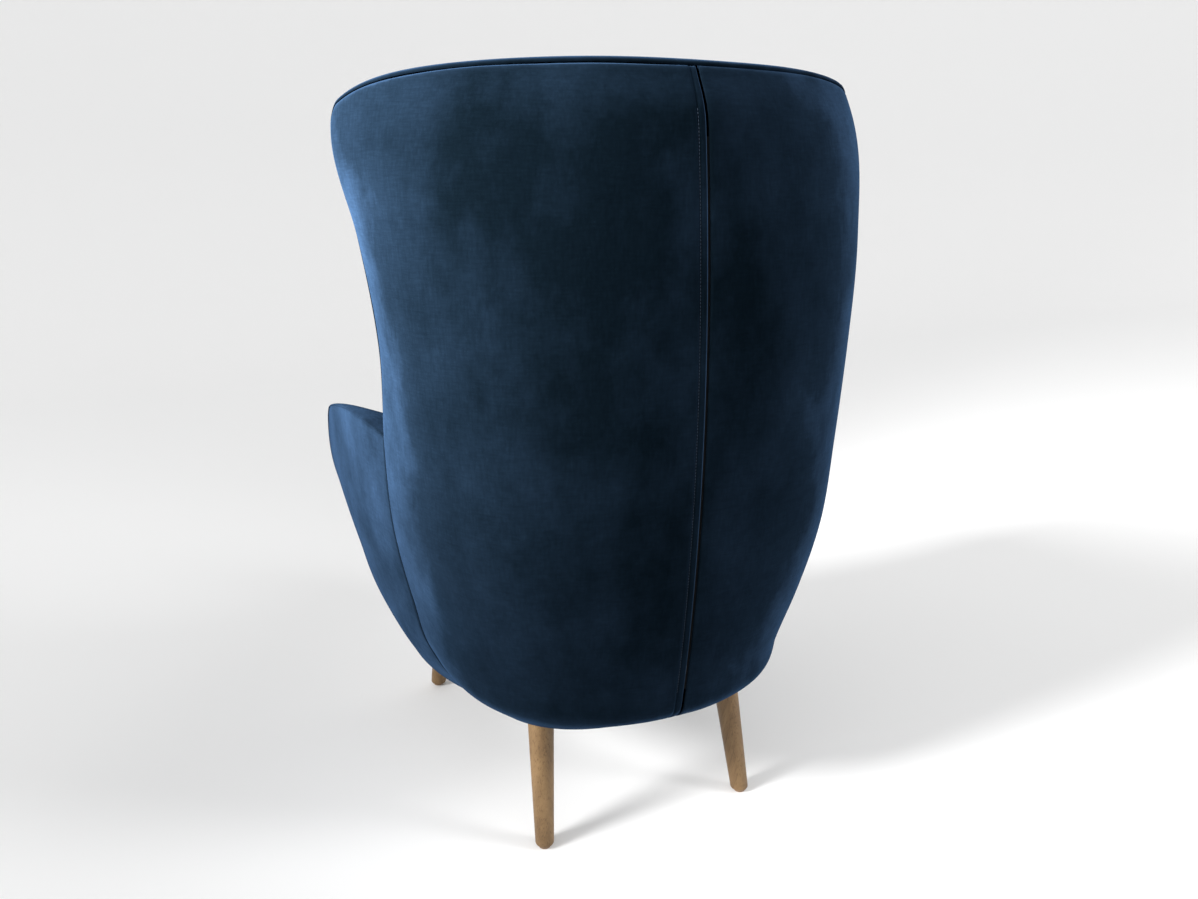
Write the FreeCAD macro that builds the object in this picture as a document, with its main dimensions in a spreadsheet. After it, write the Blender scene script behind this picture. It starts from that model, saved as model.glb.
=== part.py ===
import FreeCAD, Part
import Sketcher
import math
import os
from FreeCAD import Placement, Rotation, Vector

# Wing-back lounge armchair with a zip-on cover. Millimetres, +Z up.
# The sitter faces -Y, +X is on the sitter's left, and the floor is z = 0.

doc = FreeCAD.newDocument("wing_chair")
sheet = doc.addObject("Spreadsheet::Sheet", "sizes")

SINGLE_SIZES = {
    # the upright shell
    "shell_bottom": 200.0,
    "loft_top": 1130.0,
    "seam_top": 1110.0,
    "top_arc_radius": 885.0,
    "top_arc_y": 340.0,
    "lip_rise": 9.0,
    "spine_radius": 2750.0,
    "spine_z": 730.0,
    "spine_y": 373.5,
    "table_low": 235.0,
    "arc_low": 275.0,
    "arc_high": 1030.0,
    "table_high": 1100.0,
    # the arms
    "arm_top": 624.0,
    "arm_arc_radius": 1080.0,
    "arm_arc_y": -25.0,
    "arm_front_y": -352.0,
    "arm_corner_radius": 55.0,
    "arm_crest_x": 352.0,
    "band_overlap": 38.0,
    "seam_half": 0.4,
    "arm_top_fall": 0.38,
    # covers and gaps
    "cover_thick": 1.8,
    "layer_gap": 0.4,
    "body_gap": 4.0,
    "slit_half": 1.75,
    "slit_top": 1060.0,
    # the seat
    "deck_low": 252.0,
    "deck_high": 332.0,
    "deck_front_y": -318.0,
    "cushion_low": 337.0,
    "cushion_high": 466.0,
    "cushion_front_y": -366.0,
    "cushion_edge_inset": 16.0,
    "cushion_section_z": 470.0,
    "cushion_side_gap": 10.0,
    # the steel frame
    "rail_radius": 12.5,
    "rail_wall": 2.0,
    "hoop_radius": 9.5,
    "hoop_wall": 1.5,
    "bend_radius": 45.0,
    "rail_z": 228.0,
    "rail_half_width": 190.0,
    "rail_front_y": -303.0,
    "rail_rear_y": 204.0,
    "weld_gap": 3.0,
    # springs and clips
    "spring_wire_radius": 1.9,
    "spring_loop_radius": 11.0,
    "spring_leg": 26.0,
    "spring_count": 5.0,
    "spring_pitch": 62.0,
    "clip_width": 16.0,
    "clip_depth": 14.0,
    "clip_height": 7.0,
    "clip_wall": 1.4,
    # legs
    "leg_foot_radius": 14.0,
    "leg_top_radius": 20.5,
    "leg_top_z": 211.0,
    "leg_low_z": 4.0,
    "leg_edge_radius": 4.5,
    "leg_rear_x": 173.0,
    "leg_rear_y": 225.0,
    "leg_front_x": 183.0,
    "leg_front_y": -328.0,
    "leg_lean_x": 0.066,
    "leg_lean_y": 0.217,
    "glide_radius": 9.0,
    "plate_side": 64.0,
    "plate_thick": 4.0,
    "plate_corner": 8.0,
    "stud_radius": 4.0,
    "stud_length": 62.0,
    "nut_radius": 7.5,
    "nut_height": 6.5,
    # zip
    "zip_x": 5.0,
    "zip_low": 277.0,
    "zip_high": 1027.0,
    "tape_width": 15.0,
    "tape_depth": 5.2,
    "tape_thick": 0.6,
    "coil_width": 2.4,
    "coil_depth": 6.1,
    "coil_thick": 2.4,
    "coil_gap": 0.8,
    "slider_length": 14.0,
    "slider_width": 10.0,
    "slider_park_z": 312.0,
    "slider_top_z": 1012.0,
    "pull_width": 6.0,
    "pull_thick": 1.2,
    "pull_length": 26.0,
    "pull_depth": 4.5,
    "pull_corner": 2.5,
    "channel_depth": 11.8,
    "channel_half_width": 19.0,
}

# One row per height of the shell's plan curve. The outside of half the plan is a cubic Bezier
# curve from the centre of the back (0, back_y) through the handles (shoulder_x, back_y) and
# (corner_x, corner_y) to the front edge (edge_x, edge_y). The padding is back_pad thick at
# the centre of the back and side_pad thick at the front edge.
SHELL_COLUMNS = ("z", "back_y", "shoulder_x", "corner_x", "corner_y", "edge_x", "edge_y",
                 "back_pad", "side_pad")
SHELL_ROWS = (
    (200, 268, 104, 216, 236, 215, 115, 60, 35),
    (230, 318, 128, 262, 240, 259, 84, 75, 40),
    (275, 336, 140, 280, 240, 289, 60, 85, 49),
    (360, 348, 160, 305, 275, 313, 49, 120, 64),
    (470, 361, 180, 331, 312, 334, 44, 145, 84),
    (600, 370, 185, 347, 318, 342, 50, 145, 86),
    (750, 373, 190, 364, 317, 346, 68, 125, 72),
    (900, 368, 194, 375, 302, 366, 70, 105, 62),
    (1030, 357, 188, 372, 262, 390, 62, 88, 56),
    (1110, 326, 174, 359, 215, 380, 61, 74, 52),
    (1140, 308, 167, 352, 195, 374, 61, 70, 50),
)

# One row per height of an arm's plan: its outside is a quadratic curve from the shell's front
# edge past (bulge_x) to the front corner (front_x, front_y); its inside is straight and ends
# at inside_x.
ARM_COLUMNS = ("z", "bulge_x", "front_x", "front_y", "inside_x")
ARM_ROWS = (
    (200, 278, 196, -346, 160),
    (260, 309, 274, -354, 232),
    (360, 337, 316, -356, 270),
    (480, 357, 352, -356, 273),
    (560, 361, 356, -356, 275),
    (640, 363, 352, -356, 277),
)


def put_in_sheet():
    cells = dict(SINGLE_SIZES)
    for columns, rows, word in ((SHELL_COLUMNS, SHELL_ROWS, "shell"), (ARM_COLUMNS, ARM_ROWS, "arm")):
        for index, row in enumerate(rows):
            for column, value in zip(columns, row):
                cells[f"{word}_row{index}_{column}"] = float(value)
    for line, (alias, value) in enumerate(cells.items(), start=1):
        sheet.set(f"A{line}", alias)
        sheet.set(f"B{line}", str(value))
        sheet.setAlias(f"B{line}", alias)
    doc.recompute()


def size(alias):
    return float(sheet.get(alias))


put_in_sheet()


def read_rows(word, columns, count):
    return [[size(f"{word}_row{index}_{column}") for column in columns] for index in range(count)]


SHELL = read_rows("shell", SHELL_COLUMNS, len(SHELL_ROWS))
ARM = read_rows("arm", ARM_COLUMNS, len(ARM_ROWS))

SPINE_R = size("spine_radius")
SPINE_Z = size("spine_z")
SPINE_Y = size("spine_y")
SPINE_CENTRE = Vector(0, SPINE_Y - SPINE_R, SPINE_Z)
COVER = size("cover_thick")
GAP = size("layer_gap")
PAD_IN = COVER + GAP  # depth of the padding's face under a cover
EDGE_U = 0.004  # share of the half plan taken by the strip that closes the shell's front edge
SEAM_U = 0.0008  # half a seam's gap, as a share of the plan curve
SPLIT_U = 0.5  # where the back padding ends and the wing padding begins
LOW = size("shell_bottom")
LOFT_TOP = size("loft_top")
OUTER = 0.0  # layer fractions: the outside and the inside face of a padded wall
INNER = 1.0

NODES = []


# ------------------------------------------------------------------ curves of the body
def interpolate_rows(rows, z):
    """Smooth value of every column at height z, by cubic pieces with averaged slopes."""
    heights = [row[0] for row in rows]
    last = len(rows) - 1

    def slope(index):
        if index == 0 or index == last:
            low = min(index, last - 1)
            span = heights[low + 1] - heights[low]
            return [(b - a) / span for a, b in zip(rows[low], rows[low + 1])]
        before = heights[index] - heights[index - 1]
        after = heights[index + 1] - heights[index]
        return [
            ((b - a) / before * after + (c - b) / after * before) / (before + after)
            for a, b, c in zip(rows[index - 1], rows[index], rows[index + 1])
        ]

    index = max(0, min(last - 1, sum(1 for height in heights[1:] if z >= height)))
    span = heights[index + 1] - heights[index]
    part = (z - heights[index]) / span
    start_weight = 2 * part**3 - 3 * part**2 + 1
    end_weight = 3 * part**2 - 2 * part**3
    start_pull = (part**3 - 2 * part**2 + part) * span
    end_pull = (part**3 - part**2) * span
    return [
        start_weight * a + end_weight * b + start_pull * sa + end_pull * sb
        for a, b, sa, sb in zip(rows[index], rows[index + 1], slope(index), slope(index + 1))
    ]


def smooth_share(z, start, end):
    """0 before the start, 1 past the end, and a smooth rise between them."""
    share = max(0.0, min(1.0, (z - start) / (end - start)))
    return share**2 * (3 - 2 * share)


def spine_y(z, tabled):
    """The centre of the back is one arc wherever the zip runs; it eases into the table past that."""
    arc = SPINE_Y - SPINE_R + math.sqrt(SPINE_R**2 - (z - SPINE_Z) ** 2)
    ends = ("arc_high", "table_high") if z > SPINE_Z else ("arc_low", "table_low")
    share = smooth_share(z, size(ends[0]), size(ends[1]))
    return arc + (tabled - arc) * share


def shell_points(u, z):
    """Outside and inside points of the shell at the share u (-1 to 1) of its plan curve."""
    row = interpolate_rows(SHELL, z)
    _, tabled, shoulder_x, corner_x, corner_y, edge_x, edge_y, back_pad, side_pad = row
    back_y = spine_y(z, tabled)
    t = abs(u)
    w0 = (1 - t) ** 3
    w1 = 3 * t * (1 - t) ** 2
    w2 = 3 * t**2 * (1 - t)
    w3 = t**3
    side = math.copysign(1, u)
    outside = Vector(
        side * (w1 * shoulder_x + w2 * corner_x + w3 * edge_x),
        (w0 + w1) * back_y + w2 * corner_y + w3 * edge_y,
        z,
    )
    inside = Vector(
        side * (w1 * shoulder_x * 0.8 + w2 * (corner_x - side_pad) + w3 * (edge_x - side_pad)),
        (w0 + w1) * (back_y - back_pad) + w2 * (corner_y - 0.62 * back_pad) + w3 * edge_y,
        z,
    )
    return outside, inside


def arm_points(t, z):
    """Outside and inside points of the left arm at the share t (0 to 1) from the shell forward."""
    _, bulge_x, front_x, front_y, inside_x = interpolate_rows(ARM, z)
    rear_out, rear_in = shell_points(1, z)
    handle = Vector(2 * bulge_x - (rear_out.x + front_x) / 2, (rear_out.y + front_y) / 2, z)
    front_out = Vector(front_x, front_y, z)
    outside = rear_out * (1 - t) ** 2 + handle * (2 * t * (1 - t)) + front_out * t**2
    inside = rear_in * (1 - t) + Vector(inside_x, front_y, z) * t
    return outside, inside


def at_layer(points, layer):
    """Point of a padded wall: layer is (fraction of the thickness, then millimetres inward)."""
    outside, inside = points
    across = inside - outside
    return outside + across * ((layer[0] * across.Length + layer[1]) / across.Length)


def spread(first, last, count):
    return [first + (last - first) * index / (count - 1) for index in range(count)]


def curve_edge(points):
    curve = Part.BSplineCurve()
    curve.interpolate(points)
    return curve.toShape()


def ring(outside, inside):
    """Closed wire from two open curves and the two lines between their ends."""
    return Part.Wire(
        [
            curve_edge(outside),
            Part.makeLine(outside[-1], inside[-1]),
            curve_edge(inside[::-1]),
            Part.makeLine(inside[0], outside[0]),
        ]
    )


def wall(point_function, span, heights, layers, count=13):
    """Padded wall as a loft through horizontal rings."""
    wires = []
    for z in heights:
        places = [point_function(share, z) for share in spread(span[0], span[1], count)]
        outside = [at_layer(place, layers[0]) for place in places]
        inside = [at_layer(place, layers[1]) for place in places]
        wires.append(ring(outside, inside))
    return Part.makeLoft(wires, True, False)


def heights_between(low, high):
    """Section heights of the shell: the rows of its table that lie between two ends."""
    return [low] + [row[0] for row in SHELL if low + 12 < row[0] < high - 12] + [high]


# ------------------------------------------------------------------ document helpers
def keep(name, shape):
    """A free-form sub-part: a feature whose shape is worked out from the sheet above."""
    solids = shape.Solids
    feature = doc.addObject("Part::Feature", name)
    feature.Shape = solids[0] if len(solids) == 1 else Part.makeCompound(solids)
    feature.Label = name
    NODES.append(feature)
    return feature


def keep_pair(name, left_shape):
    keep(f"{name}_left", left_shape)
    keep(f"{name}_right", left_shape.mirror(Vector(0, 0, 0), Vector(1, 0, 0)))


def bind(target, **expressions):
    for prop, expression in expressions.items():
        target.setExpression(prop, expression)


def new_box(name, **expressions):
    box = doc.addObject("Part::Box", name)
    bind(box, **expressions)
    return box


def origin_plane(body, role):
    return next(feature for feature in body.Origin.OriginFeatures if feature.Role == role)


def circle_sketch(body, name, plane, aliases):
    """Sketch of circles about the origin, each radius bound to the sheet."""
    sketch = body.newObject("Sketcher::SketchObject", name)
    sketch.AttachmentSupport = [(origin_plane(body, plane), "")]
    sketch.MapMode = "FlatFace"
    for index, expression in enumerate(aliases):
        sketch.addGeometry(Part.Circle(Vector(0, 0, 0), Vector(0, 0, 1), 5.0 + 5.0 * index), False)
        sketch.addConstraint(Sketcher.Constraint("Coincident", index, 3, -1, 1))
        radius = sketch.addConstraint(Sketcher.Constraint("Radius", index, 5.0 + 5.0 * index))
        sketch.setExpression(f"Constraints[{radius}]", expression)
    return sketch


def padded_body(name, plane, aliases, length):
    """A PartDesign body: concentric circles padded to a length that is bound to the sheet."""
    body = doc.addObject("PartDesign::Body", name)
    sketch = circle_sketch(body, f"{name}_section", plane, aliases)
    pad = body.newObject("PartDesign::Pad", f"{name}_pad")
    pad.Profile = sketch
    pad.setExpression("Length", length)
    body.Label = name
    return body


# ------------------------------------------------------------------ cutting shapes
def top_cylinder(rise):
    """The shell's top is part of a drum that lies across the chair; rise is above the seam."""
    radius = size("top_arc_radius")
    base = Vector(-600, size("top_arc_y"), size("seam_top") - radius)
    return Part.makeCylinder(radius + rise, 1200, base, Vector(1, 0, 0))


def arm_outline(inset):
    """Block that gives the left arm its arched top, which falls inwards, and its rounded front."""
    radius = size("arm_arc_radius") - inset
    reach = 600
    centre = Vector(-reach, size("arm_arc_y"), size("arm_top") - size("arm_arc_radius"))
    drum = Part.makeCylinder(radius, 2 * reach, centre, Vector(1, 0, 0))
    front_y = size("arm_front_y") + inset
    block = Part.makeBox(2 * reach, reach, 2 * reach, Vector(-reach, front_y, -LOW))
    level = drum.common(block)
    corner = [
        edge
        for edge in level.Edges
        if abs(edge.CenterOfMass.y - front_y) < 0.01 and edge.CenterOfMass.z > LOW + 200
        and edge.Length > reach
    ]
    level = level.makeFillet(size("arm_corner_radius") - inset, corner)
    profile = min(level.Faces, key=lambda face: face.CenterOfMass.x)
    fall = size("arm_top_fall")
    profile.translate(Vector(0, 0, -fall * (reach + size("arm_crest_x"))))
    sheared = profile.extrude(Vector(2 * reach, 0, 2 * reach * fall))
    return sheared.common(Part.makeBox(2 * reach, 2 * reach, 2 * reach, Vector(-reach, -reach, LOW + 0.2)))


def spine_band(depths, heights, reach_x):
    """Strip along the centre of the back between two depths, two heights and two x values."""
    arcs = []
    for depth in depths:
        radius = SPINE_R - depth
        angles = [math.asin((z - SPINE_Z) / SPINE_R) for z in heights]
        middle = sum(angles) / 2
        places = [
            SPINE_CENTRE + Vector(reach_x[0], radius * math.cos(a), radius * math.sin(a))
            for a in (angles[0], middle, angles[1])
        ]
        arcs.append((Part.Arc(*places).toShape(), places[0], places[2]))
    outline = Part.Wire(
        [
            arcs[0][0],
            Part.makeLine(arcs[0][2], arcs[1][2]),
            arcs[1][0],
            Part.makeLine(arcs[1][1], arcs[0][1]),
        ]
    )
    return Part.Face(outline).extrude(Vector(reach_x[1] - reach_x[0], 0, 0))


# ------------------------------------------------------------------ steel frame
def straight_rails():
    """Base ring: two side rails, with the front and rear rails butt-welded between them."""
    tube = ("sizes.rail_radius - sizes.rail_wall", "sizes.rail_radius")
    half = size("rail_half_width")
    z = size("rail_z")
    overhang = size("rail_radius") + 1
    side_length = "sizes.rail_rear_y - sizes.rail_front_y + 2 * sizes.rail_radius + 2"
    for side, word in ((1, "left"), (-1, "right")):
        rail = padded_body(f"frame_side_rail_{word}", "XZ_Plane", tube, side_length)
        rail.Placement.Base = Vector(side * half, size("rail_rear_y") + overhang, z)
        NODES.append(rail)
    cross_length = "2 * (sizes.rail_half_width - sizes.rail_radius - sizes.weld_gap)"
    reach = half - size("rail_radius") - size("weld_gap")
    for word in ("front", "rear"):
        rail = padded_body(f"frame_{word}_rail", "YZ_Plane", tube, cross_length)
        rail.Placement.Base = Vector(-reach, size(f"rail_{word}_y"), z)
        NODES.append(rail)


def bent_path(points):
    """Straight runs with tangent arcs at the corners."""
    edges = []
    start = points[0]
    for index in range(1, len(points) - 1):
        before = (points[index - 1] - points[index]).normalize()
        after = (points[index + 1] - points[index]).normalize()
        half_turn = math.acos(max(-1.0, min(1.0, before.dot(after)))) / 2
        runs = [(points[index + step] - points[index]).Length for step in (-1, 1)]
        setback = min(size("bend_radius") / math.tan(half_turn), 0.45 * min(runs))
        radius = setback * math.tan(half_turn)
        entry = points[index] + before * setback
        leave = points[index] + after * setback
        inward = (before + after).normalize()
        centre = points[index] + inward * (radius / math.sin(half_turn))
        middle = centre - inward * radius
        edges.append(Part.makeLine(start, entry))
        edges.append(Part.Arc(entry, middle, leave).toShape())
        start = leave
    edges.append(Part.makeLine(start, points[-1]))
    return Part.Wire(edges)


def tube_along(points, outer_radius, inner_radius=0.0):
    path = bent_path(points)
    heading = (points[1] - points[0]).normalize()
    rims = [Part.Wire(Part.makeCircle(outer_radius, points[0], heading))]
    if inner_radius:
        rims.append(Part.Wire(Part.makeCircle(inner_radius, points[0], heading)))
    pipes = [path.makePipeShell([rim], True, False) for rim in rims]
    solid = pipes[0]
    if inner_radius:
        solid = solid.cut(pipes[1])
    return solid


def mid_wall(u, z, shift=0.5):
    """A point inside the shell's wall, shift of the way through it."""
    return at_layer(shell_points(u, z), (shift, 0.0))


def mid_arm(t, z, shift=0.5):
    return at_layer(arm_points(t, z), (shift, 0.0))


def frame_routes():
    """Centre lines of the bent tubes on the left side; each starts clear of what it is welded to."""
    hoop = size("hoop_radius")
    rail_top = size("rail_z") + size("rail_radius") + size("weld_gap")
    foot = Vector(size("rail_half_width"), size("rail_rear_y"), rail_top)
    upright = [
        foot,
        Vector(foot.x + 4, foot.y + 20, rail_top + 50),
        mid_wall(0.45, 400, 0.55),
        mid_wall(0.45, 700, 0.5),
        mid_wall(0.45, 1055, 0.5),
    ]
    clear = hoop * 2 + size("weld_gap")
    upright_at_wing = mid_wall(0.45, 1010, 0.5)
    wing = [
        upright_at_wing + (mid_wall(0.8, 1010) - upright_at_wing).normalize() * clear,
        mid_wall(0.62, 1014),
        mid_wall(0.8, 1012),
        mid_wall(0.93, 990),
        mid_wall(0.93, 850),
        mid_wall(0.93, 583),
    ]
    upright_at_arm = mid_wall(0.45, 560, 0.52)
    arm = [
        upright_at_arm + (mid_wall(0.8, 560) - upright_at_arm).normalize() * clear,
        mid_wall(0.75, 565),
        mid_wall(0.95, 572),
        mid_arm(0.45, 572),
        mid_arm(0.86, 545),
        mid_arm(0.86, 330),
        Vector(size("rail_half_width") + 34, -270, 262),
        Vector(size("rail_half_width") + size("rail_radius") + 2 * size("weld_gap"), -262, 232),
    ]
    return {"upright": upright, "wing_hoop": wing, "arm_hoop": arm}


def cross_routes():
    """Head rail and lumbar rail, between the two uprights."""
    clear = size("hoop_radius") + size("weld_gap")
    routes = {}
    for name, z, shift in (("head_rail", 985, 0.5), ("lumbar_rail", 520, 0.56)):
        end = mid_wall(0.45, z, 0.5)
        bend = mid_wall(0.18, z, shift)
        start = end + (bend - end).normalize() * (clear + 2)
        other_bend = Vector(-bend.x, bend.y, bend.z)
        routes[name] = [start, bend, other_bend, Vector(-start.x, start.y, start.z)]
    return routes


def bent_tubes():
    """Bent tubes, and solid rods a little thicker than them that cut their channels in the foam."""
    outer = size("hoop_radius")
    inner = outer - size("hoop_wall")
    channels = []
    for name, route in frame_routes().items():
        keep_pair(f"frame_{name}", tube_along(route, outer, inner))
        channel = tube_along(route, outer + GAP)
        channels.append(channel)
        channels.append(channel.mirror(Vector(0, 0, 0), Vector(1, 0, 0)))
    for name, route in cross_routes().items():
        keep(f"frame_{name}", tube_along(route, outer, inner))
        channels.append(tube_along(route, outer + GAP))
    return channels


def seat_springs():
    """Zigzag wire springs from the front rail to the rear rail, hooked into clips."""
    leg = size("spring_leg")
    wire_radius = size("spring_wire_radius")
    z = size("rail_z") + size("rail_radius") + GAP + size("clip_height") / 2
    front = size("rail_front_y")
    rear = size("rail_rear_y")
    count = int(size("spring_count"))
    turns = round((rear - front) / (2 * size("spring_loop_radius")))
    loop = (rear - front) / (2 * turns)
    springs = []
    clips = []
    for index in range(count):
        x = (index - (count - 1) / 2) * size("spring_pitch")
        edges = []
        side = 1
        edges.append(Part.makeLine(Vector(x - 6, front, z), Vector(x + leg / 2, front, z)))
        for turn in range(turns):
            y = front + turn * 2 * loop
            edge_x = x + side * leg / 2
            arc = Part.Arc(
                Vector(edge_x, y, z),
                Vector(edge_x + side * loop, y + loop, z),
                Vector(edge_x, y + 2 * loop, z),
            )
            edges.append(arc.toShape())
            far_x = x - side * leg / 2 if turn < turns - 1 else x - side * 6
            edges.append(Part.makeLine(Vector(edge_x, y + 2 * loop, z), Vector(far_x, y + 2 * loop, z)))
            side = -side
        rim = Part.Wire(Part.makeCircle(wire_radius, Vector(x - 6, front, z), Vector(1, 0, 0)))
        springs.append(Part.Wire(edges).makePipeShell([rim], True, False))
        for y in (front, rear):
            clips.append(spring_clip(x, y, z, wire_radius))
    keep("seat_springs", Part.makeCompound(springs))
    keep("spring_clips", Part.makeCompound(clips))


def spring_clip(x, y, z, wire_radius):
    """Folded steel clip, open on both sides, around the end of a spring."""
    width = size("clip_width") - 6
    depth = size("clip_depth")
    height = size("clip_height")
    block = Part.makeBox(width, depth, height, Vector(x - width / 2, y - depth / 2, z - height / 2))
    slot_height = 2 * wire_radius + GAP
    slot = Part.makeBox(
        width + 2,
        depth - size("clip_wall"),
        slot_height,
        Vector(x - width / 2 - 1, y - depth / 2 - 0.01, z - slot_height / 2),
    )
    return block.cut(slot)


# ------------------------------------------------------------------ legs and their fixings
def leg_places():
    """Name, foot point and axis direction of each leg."""
    places = []
    for end in ("rear", "front"):
        y = size(f"leg_{end}_y")
        for side, word in ((1, "left"), (-1, "right")):
            foot = Vector(side * size(f"leg_{end}_x"), y, 0)
            axis = Vector(-side * size("leg_lean_x"), -math.copysign(size("leg_lean_y"), y), 1)
            places.append((f"{end}_{word}", foot, axis))
    return places


def leg_fixing(foot, axis):
    """Where a leg's axis meets the underside of its plate."""
    return foot + axis * size("leg_top_z")


def stud_base(foot, axis):
    """Lower end of a leg's stud, buried in the leg's top."""
    lean = axis / axis.Length
    return leg_fixing(foot, axis) - lean * (size("stud_length") - 14)


def legs():
    for name, foot, axis in leg_places():
        taper = doc.addObject("Part::Cone", f"taper_{name}")
        bind(taper, Radius1="sizes.leg_foot_radius - 0.4", Radius2="sizes.leg_top_radius + 0.4",
             Height="sizes.leg_top_z + 34")
        lean = Rotation(Vector(0, 0, 1), axis)
        taper.Placement = Placement(foot - axis * 12, lean)
        trim = new_box(f"trim_{name}", Length="160", Width="160",
                       Height="sizes.leg_top_z - sizes.leg_low_z")
        trim.Placement.Base = Vector(foot.x - 80, foot.y - 80, size("leg_low_z"))
        trim.Placement.Base = trim.Placement.Base + Vector(axis.x, axis.y, 0) * 100
        trimmed = doc.addObject("Part::Common", f"trimmed_{name}")
        trimmed.Base = taper
        trimmed.Tool = trim
        doc.recompute()
        lowest = min(range(len(trimmed.Shape.Edges)), key=lambda i: trimmed.Shape.Edges[i].CenterOfMass.z)
        rounded = doc.addObject("Part::Fillet", f"rounded_{name}")
        rounded.Base = trimmed
        rounding = size("leg_edge_radius")
        rounded.Edges = [(lowest + 1, rounding, rounding)]
        bore = doc.addObject("Part::Cylinder", f"bore_{name}")
        bind(bore, Radius="sizes.stud_radius + 0.05", Height="sizes.stud_length + 2")
        bore.Placement = Placement(stud_base(foot, axis) - axis * 1, lean)
        leg = doc.addObject("Part::Cut", f"leg_{name}")
        leg.Base = rounded
        leg.Tool = bore
        leg.Label = f"leg_{name}"
        NODES.append(leg)


def leg_fixings():
    """Corner plates under the rails, a stud up from each leg, its nut, and the foot glides."""
    side = size("plate_side")
    thick = size("plate_thick")
    top = size("leg_top_z")
    points = [(foot, axis, leg_fixing(foot, axis)) for _, foot, axis in leg_places()]
    plate = Part.makeBox(side, side, thick, Vector(-side / 2, -side / 2, 0))
    upright_edges = [edge for edge in plate.Edges if abs(edge.Length - thick) < 1e-6]
    plate = plate.makeFillet(size("plate_corner"), upright_edges)
    plates = []
    for foot, axis, fixing in points:
        blank = plate.translated(Vector(fixing.x, fixing.y, top + 0.1))
        lean = axis / axis.Length
        bore = Part.makeCylinder(size("stud_radius") + 0.3, 60, fixing - lean * 30, lean)
        plates.append(blank.cut(bore))
    keep("leg_plates", Part.makeCompound(plates))

    studs = []
    nuts = []
    glides = []
    radius = size("stud_radius")
    height = size("nut_height")
    for foot, axis, fixing in points:
        lean = axis / axis.Length
        studs.append(Part.makeCylinder(radius, size("stud_length"), stud_base(foot, axis), lean))
        turns = [k * math.pi / 3 for k in range(7)]
        corners = [Vector(math.cos(turn), math.sin(turn), 0) * size("nut_radius") for turn in turns]
        hexagon = Part.makePolygon(corners)
        nut = Part.Face(Part.Wire(hexagon)).extrude(Vector(0, 0, height))
        seat = fixing + lean * (thick * axis.Length + 1.6)
        nut.Placement = Placement(seat, Rotation(Vector(0, 0, 1), lean))
        hole = Part.makeCylinder(radius + 0.05, 60, fixing - lean * 10, lean)
        nuts.append(nut.cut(hole))
        glide = Part.makeCylinder(size("glide_radius"), size("leg_low_z") - 0.05, foot)
        rim = [edge for edge in glide.Edges if edge.CenterOfMass.z < 0.1 and edge.Length > 10]
        glide = glide.makeFillet(1.0, rim)
        glide.translate(Vector(axis.x, axis.y, 0) * size("leg_low_z"))
        glides.append(glide)
    keep("leg_studs", Part.makeCompound(studs))
    keep("leg_nuts", Part.makeCompound(nuts))
    keep("leg_glides", Part.makeCompound(glides))


# ------------------------------------------------------------------ padding
def base_hollows():
    """Room in the padding for the base rails, the corner plates and the tops of the legs."""
    radius = size("rail_radius") + GAP
    half = size("rail_half_width")
    front = size("rail_front_y")
    rear = size("rail_rear_y")
    z = size("rail_z")
    reach = radius + 2
    tools = []
    for side in (1, -1):
        start = Vector(side * half, front - reach, z)
        tools.append(Part.makeCylinder(radius, rear - front + 2 * reach, start, Vector(0, 1, 0)))
    for y in (front, rear):
        tools.append(Part.makeCylinder(radius, 2 * half, Vector(-half, y, z), Vector(1, 0, 0)))
    plate = size("plate_side") + 2 * GAP
    for _, foot, axis in leg_places():
        fixing = leg_fixing(foot, axis)
        corner = fixing - Vector(plate / 2, plate / 2, GAP)
        tools.append(Part.makeBox(plate, plate, size("plate_thick") + 2 * GAP, corner))
        lean = axis / axis.Length
        tools.append(Part.makeCylinder(size("leg_top_radius") + 1.5, 46, fixing - lean * 30, lean))
    return tools


def cut_all(shape, tools):
    for tool in tools:
        if shape.BoundBox.intersect(tool.BoundBox):
            shape = shape.cut(tool)
    return shape


def shell_padding(channels):
    heights = heights_between(LOW + GAP, LOFT_TOP)
    layers = ((OUTER, PAD_IN), (INNER, -PAD_IN))
    ceiling = top_cylinder(size("lip_rise") - PAD_IN)
    split = SPLIT_U - 2 * SEAM_U
    back = wall(shell_points, (-split, split), heights, layers, 17).common(ceiling)
    zip_x = size("zip_x")
    half = size("channel_half_width")
    groove = spine_band(
        (-2.0, size("channel_depth")),
        (size("zip_low") - 4, size("zip_high") + 4),
        (zip_x - half, zip_x + half),
    )
    keep("back_foam", cut_all(back, [groove] + channels))
    side = wall(shell_points, (SPLIT_U + 2 * SEAM_U, 1 - EDGE_U - SEAM_U), heights, layers).common(ceiling)
    keep_pair("wing_foam", cut_all(side, channels))


def arm_padding(channels):
    heights = [LOW + GAP, 230, 260, 310, 360, 420, 480, 560, 660]
    layers = ((OUTER, PAD_IN), (INNER, -PAD_IN))
    arm = wall(arm_points, (0.004, 1.0), heights, layers, 9)
    padding = cut_all(arm.common(arm_outline(PAD_IN)), channels)
    keep_pair("arm_foam", max(padding.Solids, key=lambda solid: solid.Volume))


def front_block(y_low, y_high, z_low, z_high, side_gap):
    """Upholstered front between the arms; its ends follow the arms' inside faces."""
    sections = []
    for z in spread(z_low, z_high, 6):
        reach = at_layer(arm_points(0.95, z), (INNER, side_gap)).x
        corners = [
            Vector(-reach, y_low, z),
            Vector(reach, y_low, z),
            Vector(reach, y_high, z),
            Vector(-reach, y_high, z),
            Vector(-reach, y_low, z),
        ]
        sections.append(Part.makePolygon(corners))
    return Part.makeLoft(sections, True, True)


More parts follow.
